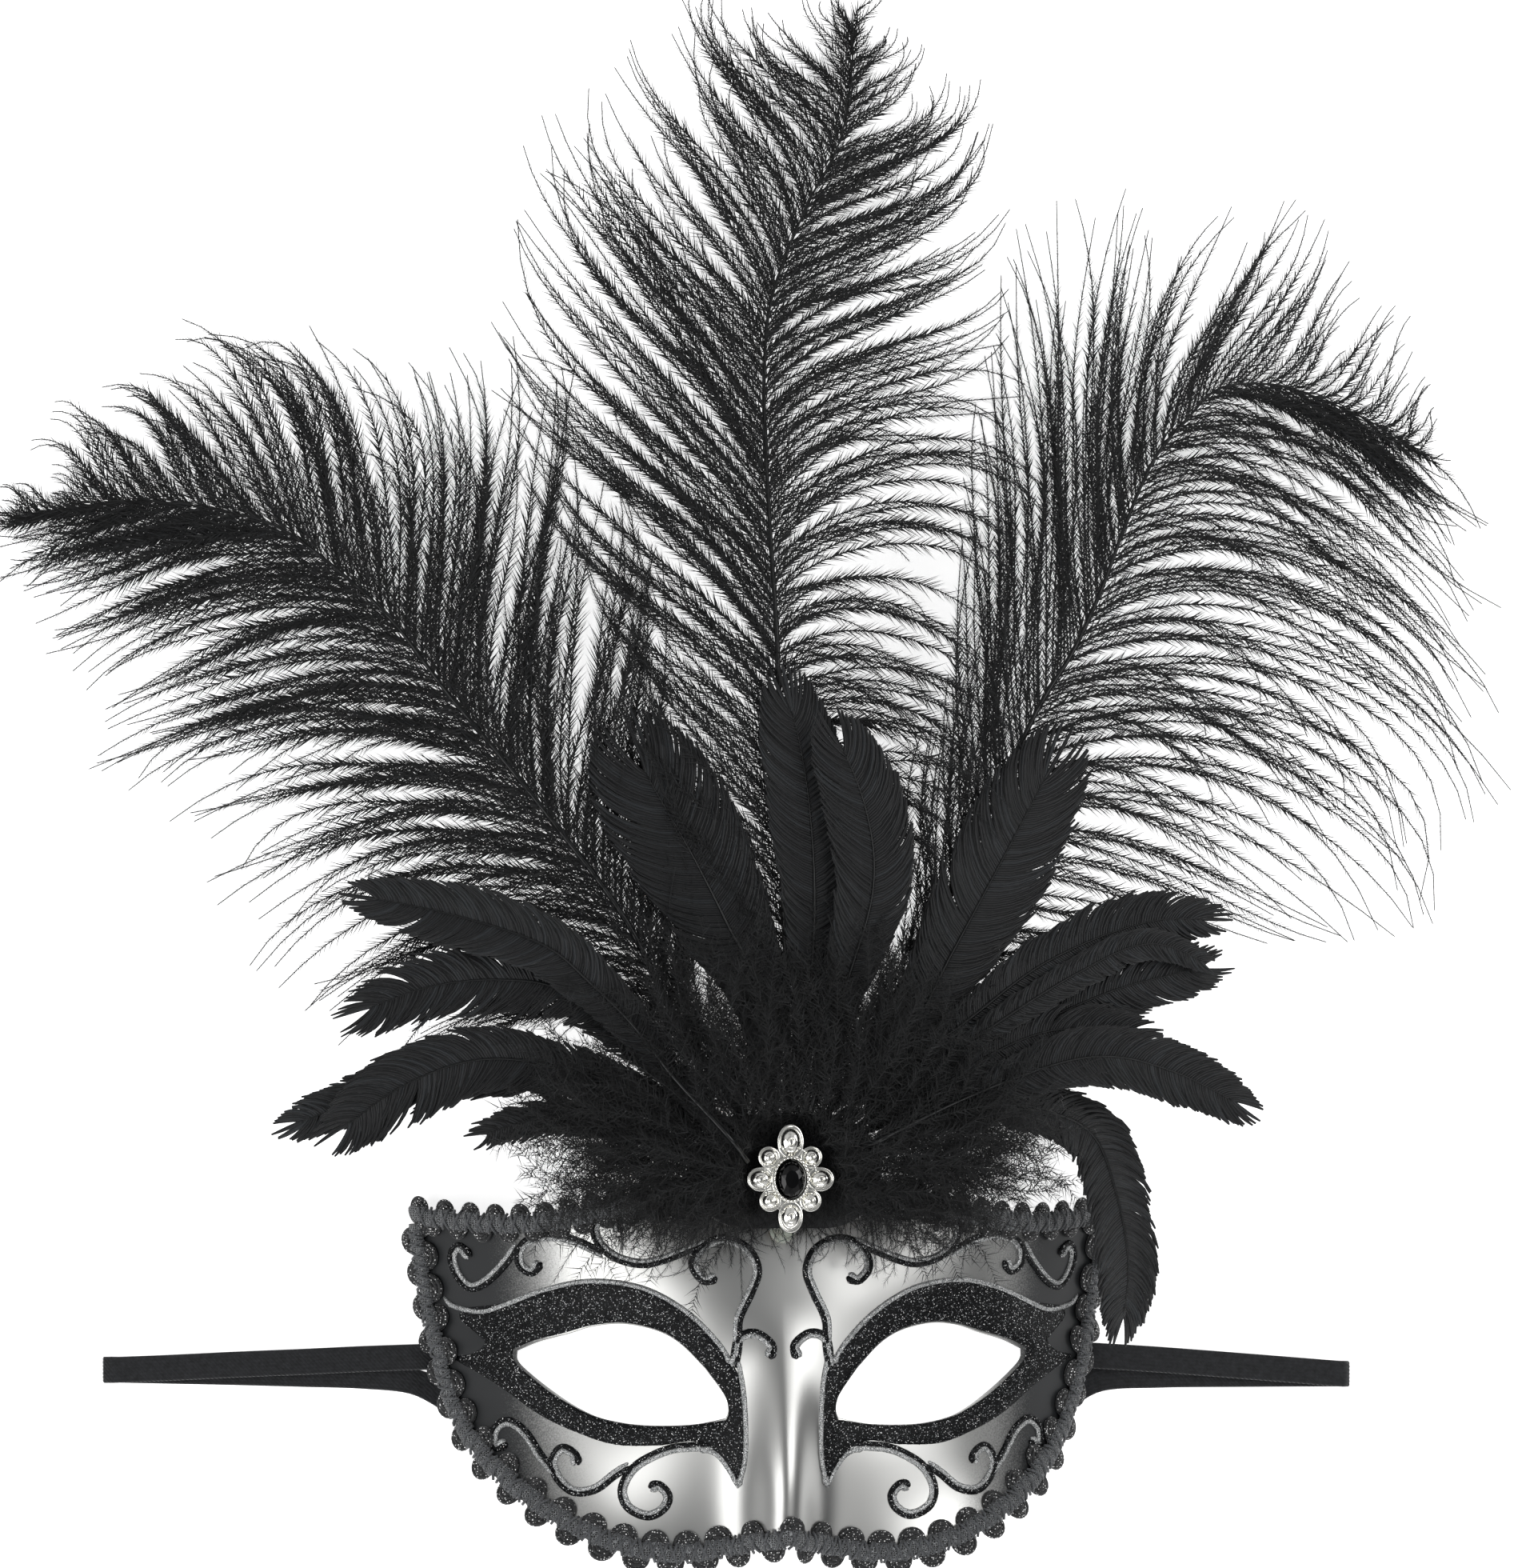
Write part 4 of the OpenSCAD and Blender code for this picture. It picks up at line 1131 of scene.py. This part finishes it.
# %% Plume shapes: quill line, then for each side (place on quill, tip x, tip y, tip heading)
PLUMES = {
    "left": dict(
        quill=[(-6, 55), (-24, 80), (-37, 105), (-51.5, 125), (-64, 141), (-77, 157), (-88, 172),
               (-98, 182), (-109, 191), (-118, 196), (-134, 199.5), (-148, 200.5), (-162, 198.5),
               (-172, 196)],
        sides={"lower": [(0.08, -62, 74, 215), (0.16, -92, 76, 212), (0.25, -112, 88, 218),
                         (0.33, -128, 112, 222), (0.42, -143, 134, 218), (0.52, -154, 146, 215),
                         (0.62, -160, 162, 212), (0.72, -170, 174, 205), (0.84, -176, 186, 200),
                         (0.93, -178, 194, 190), (1.0, -180, 197, 185)],
               "upper": [(0.10, -22, 110, 80), (0.18, -26, 150, 85), (0.27, -33, 188, 88),
                         (0.36, -44, 214, 85), (0.44, -54, 230, 95), (0.52, -76, 232, 115),
                         (0.6, -102, 237, 150), (0.7, -130, 236, 168), (0.8, -152, 226, 176),
                         (0.9, -168, 215, 180), (0.97, -176, 206, 182), (1.0, -179, 201, 184)]}),
    "centre": dict(
        quill=[(0, 58), (0, 90), (-1, 125), (-1, 164), (-2, 191), (-2.5, 212), (-2.4, 228),
               (-0.8, 244), (4, 258), (10.5, 271.5), (17, 283), (20.5, 297), (22, 312)],
        sides={"left": [(0.10, -16, 118, 110), (0.18, -30, 146, 112), (0.28, -44, 180, 115),
                        (0.38, -54, 214, 118), (0.47, -62, 244, 125), (0.55, -58, 268, 118),
                        (0.63, -50, 288, 112), (0.72, -36, 304, 105), (0.82, -16, 314, 92),
                        (0.91, 2, 316, 85), (1.0, 18, 317, 80)],
               "right": [(0.10, 20, 108, 60), (0.18, 34, 118, -30), (0.27, 44, 122, -70),
                         (0.36, 52, 136, -80), (0.45, 56, 168, -75), (0.53, 58, 206, -50),
                         (0.60, 56, 244, 40), (0.69, 52, 270, 62), (0.79, 48, 290, 75),
                         (0.89, 40, 304, 88), (0.96, 32, 313, 95), (1.0, 26, 316, 90)]}),
    "right": dict(
        quill=[(7, 56), (30, 96), (47, 128), (59, 152), (68, 166), (75, 180), (82, 197),
               (89, 211), (97, 220), (105, 227), (118, 228), (131, 224), (144, 218), (152, 213)],
        sides={"left": [(0.10, 20, 96, 75), (0.2, 34, 140, 90), (0.3, 44, 186, 95),
                        (0.38, 50, 226, 100), (0.46, 58, 262, 105), (0.53, 70, 274, 95),
                        (0.60, 84, 268, 78), (0.68, 100, 268, 70), (0.76, 120, 266, 62),
                        (0.84, 138, 256, 55), (0.92, 150, 240, 48), (1.0, 158, 218, 20)],
               "right": [(0.10, 58, 84, 20), (0.18, 88, 92, -5), (0.26, 118, 98, -25),
                         (0.33, 142, 98, -55), (0.40, 152, 108, -70), (0.48, 160, 126, -75),
                         (0.56, 163, 146, -72), (0.64, 165, 164, -68), (0.73, 164, 180, -60),
                         (0.83, 162, 192, -50), (0.93, 160, 202, -35), (1.0, 158, 210, -10)]})}
BARBS_PER_SIDE = {"left": 172, "centre": 178, "right": 150}
BARB_POINTS = 14
# length and width of the barbules: the left plume is the fluffiest, the right one the sparsest
PLUME_HAIR = {"left": (6.6, 0.36), "centre": (5.8, 0.34), "right": (5.2, 0.32)}
BARB_FIRST = 0.1
BARB_TIP_R, BARB_SWELL = 0.098, 0.102


def grow_plume(side_name, shape, z, seed):
    """A quill, and the guide lines and radii of the barbs on each side of it."""
    rng = np.random.default_rng(seed)
    quill = even(along(shape["quill"], np.linspace(0, 1, 400)), 1.0)
    forward = headings(quill)
    made = {}
    for vane_name, stations in shape["sides"].items():
        table = np.array(stations, float).T
        count = BARBS_PER_SIDE[side_name]
        hand = 1 if vane_name in ("lower", "left") else -1
        lines, radii = [], []
        clump_left = 0
        for k in range(count):
            if clump_left == 0:
                # neighbours cling together in clumps that bend and end alike
                clump_left = rng.integers(2, 7)
                clump_push, clump_turn, clump_share = (rng.normal(0, 2.4, 2), rng.normal(0, 10),
                                                       rng.uniform(0.92, 1.07))
            clump_left -= 1
            s = BARB_FIRST + (1 - BARB_FIRST) * (k + rng.uniform(-0.4, 0.4)) / (count - 1)
            s = float(np.clip(s, BARB_FIRST, 1))
            at = min(len(quill) - 1, int(s * (len(quill) - 1)))
            root, ahead = quill[at], forward[at]
            out = np.array([-ahead[1], ahead[0]]) * hand
            x, y, heading = (np.interp(s, table[0], column) for column in table[1:])
            turn = math.radians(heading + clump_turn + rng.normal(0, 12))
            reach = np.array([x, y]) - root
            # four barbs in ten are shorter, so the inside of the vane is denser than its edge
            share = (rng.uniform(0.35, 0.85) if rng.random() < 0.42
                     else clump_share * rng.uniform(0.93, 1.03))
            tip = root + reach * share + (clump_push + rng.normal(0, 1.6, 2)) * min(share, 1)
            span = np.linalg.norm(tip - root)
            tip_way = np.array([math.cos(turn), math.sin(turn)])
            # towards the plume's tip the barbs leave the quill at a smaller and smaller angle
            outward = 1 - 0.6 * smooth(0.72, 1.0, s)
            start_way = unit(ahead * rng.uniform(1.0, 1.3) + out * rng.uniform(0.6, 0.85) * outward)
            flat = bezier(root, root + start_way * span * 0.36,
                          tip - tip_way * span * rng.uniform(0.28, 0.5), tip, BARB_POINTS)
            ripple = rng.normal(0, 0.6) * np.sin(np.linspace(0, rng.uniform(4, 9), BARB_POINTS))
            t = np.linspace(0, 1, BARB_POINTS)
            flat = flat + np.outer(ripple * t, [-tip_way[1], tip_way[0]])
            height = (droop_z(flat, z) + rng.normal(0, 1.6) * t + rng.uniform(-1, 4.5) * t ** 2)
            height = np.maximum(height, TABLE_Z / MM + CLEAR_OF_TABLE + rng.uniform(0, 1.0))
            lines.append(np.column_stack([flat, height]))
            # a short barb is thinner from its root on, so its barbules are shorter too
            radii.append(BARB_TIP_R + BARB_SWELL * (1 - t) * np.clip(span / 45, 0.5, 1))
        made[vane_name] = (lines, radii)
    return quill, made


for seed, (side_name, shape) in enumerate(PLUMES.items()):
    z = PLUME_Z[side_name]
    body = f"plume_{side_name}"
    barbule_length, barbule_width = PLUME_HAIR[side_name]
    plume_barbule = barbule_motif(f"{side_name}_barbule", barbule_length, barbule_width)
    quill, vanes = grow_plume(side_name, shape, z, 100 + seed)
    quill_line = np.column_stack([quill, np.maximum(droop_z(quill, z), TABLE_Z / MM + 0.6)])
    thick = np.interp(np.linspace(0, 1, len(quill)), [0, 0.5, 1], [0.9, 0.55, 0.12])
    pieces = [new_piece(f"{body}_quill", *tube(quill_line, thick, 8, flat=0.8), quill_black)]
    for vane_name, (lines, radii) in vanes.items():
        guide = strand_curves(f"{body}_{vane_name}_guide", lines, radii)
        pieces.append(grow(guide, strand_tree, {
            "Flatness": 0.6, "Barbule Spacing": 0.65 * MM, "Barbule": plume_barbule,
            "Barbule Angle": 0.5, "Barbule Scatter": 0.22, "Shortest": 0.45,
            "Tip Radius": BARB_TIP_R * MM, "Full Radius": 0.136 * MM,
            "Strand Seed": seed * 7 + 3, "Material": ostrich}, f"{body}_barbs_{vane_name}"))
    fit(pieces, body, body)

# %% [markdown]
# ## Flat feathers
# Coque and goose feathers have flat vanes: hundreds of thin barbs lie side by side and
# hook together. Each vane is made of real barbs, so it splits and frays at the edge as a
# feather does. The barbs leave the quill at an angle and curve towards the tip.

# %% Flat feather shapes: path, greatest width, layer, tip droop, how far the barbs run open
BLADES = {
    "blade_left_1": ([(-10.5, 49.5), (-19, 59), (-28, 69), (-37, 81), (-46, 90), (-57, 99), (-78, 106),
                      (-103, 111)], 15, 7, 0, 0.3),
    "blade_left_2": ([(-13, 57), (-33, 74), (-51, 88), (-66, 91), (-84, 89), (-104, 81)], 17, 4, 0, 1.0),
    "blade_left_3": ([(-14, 54), (-36, 66), (-66, 73), (-88, 67), (-108, 52)], 17, 3, 0, 0.5),
    "blade_left_4": ([(-14, 51), (-40, 65), (-72, 70), (-96, 64), (-118, 56)], 13, 1, 0, 0.6),
    "blade_left_5": ([(-14, 49), (-34, 56), (-54, 60), (-75, 54)], 10, 5, 0, 1.0),
    "blade_centre_1": ([(-4, 61), (-7, 88), (-14, 104), (-22, 120), (-31, 136), (-40, 152)],
                       29, 0, 0, 0.15),
    "blade_centre_2": ([(1, 61), (5, 90), (6, 115), (4, 140), (-1, 163)], 19, 2, 0, 0.15),
    "blade_centre_3": ([(4, 61), (12, 88), (19, 112), (17, 132), (8, 153)], 19, 6, 0, 0.2),
    "blade_right_1": ([(8, 60), (26, 76), (38, 97), (52, 122), (67, 149)], 24, 1, 0, 0.2),
    "blade_right_2": ([(10, 59), (39, 80), (60, 95), (84, 104), (104, 104)], 14, 3, 0, 0.4),
    "blade_right_3": ([(12, 58), (40, 76), (66, 92), (84, 99), (100, 93)], 8, 5, 0, 0.3),
    "blade_right_4": ([(13, 56), (44, 74), (72, 87), (90, 92), (104, 95)], 15, 2, 0, 0.8),
    "blade_right_5": ([(14, 54), (36, 68), (60, 79), (87, 78)], 13, 4, 0, 0.5),
    "blade_right_6": ([(14, 52), (40, 64), (68, 73), (88, 70), (110, 59)], 14.5, 7, 0, 0.25),
    "blade_right_7": ([(14, 49), (36, 59), (56, 61), (71, 56), (78, 42), (82, 24), (81, 5)],
                      15, 0, 26, 0.35)}
VANE_STEP = 0.6
VANE_POINTS = 6
LINE_STEP = 0.5
STEM_POINTS = 60
# the topmost feathers' bare quills lie over the down, this much higher
TOP_LAYER, QUILL_LIFT = 7, 7.5


def grow_vane(path, width, layer, tip_droop, openness, seed):
    """Guide lines of the barbs of one flat feather, and its quill."""
    rng = np.random.default_rng(seed)
    z = BLADE_Z + LAYER_GAP * layer
    line = even(along(path, np.linspace(0, 1, 300)), LINE_STEP)
    ahead = headings(line)
    left = np.column_stack([-ahead[:, 1], ahead[:, 0]])
    place = np.linspace(0, 1, len(line))
    long = (len(line) - 1) * LINE_STEP
    # the quill stops short, and the last barbs run on past it to make the rounded tip
    lead = 1.15 * width / 2 / long
    quill_end = 1 - lead

    def half_width(v):
        return 0.4 + (width / 2 - 0.4) * np.sin(np.pi * np.clip(v, 0, 1) ** 2.1) ** 0.5

    def spot(v, offset):
        v = np.clip(v, 0, 1)
        flat = np.column_stack([np.interp(v, place, line[:, k]) + offset
                                * np.interp(v, place, left[:, k]) for k in (0, 1)])
        return np.column_stack([flat, droop_z(flat, z) - tip_droop * v ** 2])

    lines, radii = [], []
    t = np.linspace(0, 1, VANE_POINTS)
    for hand in (1, -1):
        group_left = 0
        for root in np.arange(0.06, quill_end, VANE_STEP / long):
            if group_left == 0:
                # barbs hook together in groups, and a vane splits between two groups
                group_left = rng.integers(5, 30)
                group_shift = rng.normal(0, 0.5 + 1.6 * openness) / long
                group_reach = rng.uniform(0.97 - 0.2 * openness, 1.03)
            group_left -= 1
            full = max(half_width(root) / (width / 2), smooth(quill_end - 0.1, quill_end, root))
            tip = root + lead * full + group_shift
            reach = half_width(tip) * group_reach * (1 + rng.normal(0, 0.02 + 0.07 * openness))
            loose = rng.normal(0, 0.15 + 0.7 * openness) / long
            v = root + (tip - root) * t ** 1.25 + loose * t ** 3
            barb = spot(v, hand * reach * (1 - (1 - t) ** 1.5))
            barb[:, 2] += (-0.5 * t ** 2 + rng.uniform(0, 0.16)
                           + rng.normal(0, 0.1 + 0.5 * openness) * t ** 2)
            lines.append(barb)
            radii.append(np.interp(t, [0, 0.7, 1], [0.5, 0.46, 0.16 + 0.1 * (1 - openness)]))
    stem_v = np.linspace(0, quill_end, STEM_POINTS)
    quill = spot(stem_v, np.zeros(STEM_POINTS)) + [0, 0, 0.3]
    if layer == TOP_LAYER:
        quill[:, 2] += QUILL_LIFT * (1 - smooth(0.0, 0.45, stem_v)) * smooth(0, 0.06, stem_v)
    return lines, radii, quill


for seed, (blade_name, (path, width, layer, tip_droop, openness)) in enumerate(BLADES.items()):
    lines, radii, quill = grow_vane(path, width, layer, tip_droop, openness, 300 + seed)
    guide = strand_curves(f"{blade_name}_guide", lines, radii)
    vane = grow(guide, strand_tree, {
        "Flatness": 0.15, "Barbule Spacing": 9.0 * MM, "Barbule": vane_barbule,
        "Barbule Angle": 0.5, "Barbule Scatter": 0.2, "Shortest": 0.5, "Strand Seed": seed,
        "Material": coque}, f"{blade_name}_vane")
    thick = np.interp(np.linspace(0, 1, len(quill)), [0, 0.4, 1], [0.65, 0.4, 0.08])
    stem = new_piece(f"{blade_name}_quill", *tube(quill, thick, 6), quill_black)
    fit((vane, stem), "mask", blade_name)

# %% [markdown]
# ## Marabou down
# Marabou is soft down with long, limp barbs. It hides the roots of the feathers and hangs in wisps
# over the edge of the mask. The strands start in a cluster round the pad and fan out; each bends
# under its own weight and carries long fine barbules.

# %% Down clumps: root x, y, first and last heading, shortest and longest, how many, height
DOWNS = {
    "down_left": [((-14, 48), (140, 215), (18, 34), 150, 60),
                  ((-28, 54), (120, 205), (16, 32), 130, 60),
                  ((-27, 46), (160, 205), (8, 20), 50, 50)],
    "down_right": [((14, 48), (-35, 40), (18, 34), 150, 60),
                   ((28, 55), (-25, 60), (14, 30), 130, 60),
                   ((27, 46), (-25, 20), (8, 20), 50, 50)],
    "down_back": [((-12, 62), (70, 140), (20, 40), 120, 61), ((12, 62), (40, 110), (20, 40), 120, 61),
                  ((0, 53), (50, 130), (14, 34), 110, 54), ((-14, 56), (90, 140), (14, 36), 90, 48),
                  ((14, 56), (40, 90), (14, 36), 90, 48)],
    "down_front": [((-20, 44), (195, 290), (8, 18), 150, 54), ((0, 42), (215, 325), (6, 13), 90, 50),
                   ((22, 44), (250, 345), (8, 18), 150, 54)]}
DOWN_POINTS = 9
DOWN_CLEAR = 2.6
# down inside this oval round the brooch stays under its face: centre y, half axes, height
BROOCH_OVAL = (45, 12.5, 15.5, 53.5)


def grow_down(clumps, seed):
    rng = np.random.default_rng(seed)
    oval_y, half_x, half_y, ceiling = BROOCH_OVAL
    lines, radii = [], []
    for middle, turns, lengths, count, z in clumps:
        for _ in range(count):
            turn = math.radians(rng.uniform(*turns))
            length = rng.uniform(*lengths)
            root = np.array(middle) + rng.normal(0, [8, 3.5])
            curl = rng.normal(0, 0.9)
            t = np.linspace(0, 1, DOWN_POINTS)
            way = turn + curl * t ** 1.5
            steps = np.column_stack([np.cos(way), np.sin(way)]) * length / (DOWN_POINTS - 1)
            flat = root + np.cumsum(steps, axis=0)
            rise = rng.uniform(0, 9) * np.sin(np.pi * t * 0.8)
            height = z + rng.uniform(-4, 4) + rise - rng.uniform(2, 9) * t ** 2
            height = np.maximum(height, front_z(np.clip(flat[:, 0], -78, 78),
                                                np.clip(flat[:, 1], -40, 41)) + DOWN_CLEAR)
            over = (flat[:, 0] / half_x) ** 2 + ((flat[:, 1] - oval_y) / half_y) ** 2 < 1
            height = np.where(over, np.minimum(height, ceiling), height)
            lines.append(np.column_stack([flat, height]))
            radii.append(0.07 * (1 - 0.7 * t) + 0.015)
    return lines, radii


for seed, (down_name, clumps) in enumerate(DOWNS.items()):
    guide = strand_curves(f"{down_name}_guide", *grow_down(clumps, 500 + seed))
    # the hairs over the brow are finer and closer, and lie along their strand
    in_front = down_name == "down_front"
    fluff = grow(guide, strand_tree, {
        "Flatness": 0.8, "Barbule Spacing": (0.52 if in_front else 0.95) * MM,
        "Barbule": wisp_barbule if in_front else down_barbule,
        "Barbule Angle": 0.4 if in_front else 0.7, "Barbule Scatter": 0.25 if in_front else 0.45,
        "Shortest": 0.3, "Strand Seed": 40 + seed, "Material": marabou}, f"{down_name}_strands")
    fit([fluff], "mask", down_name)
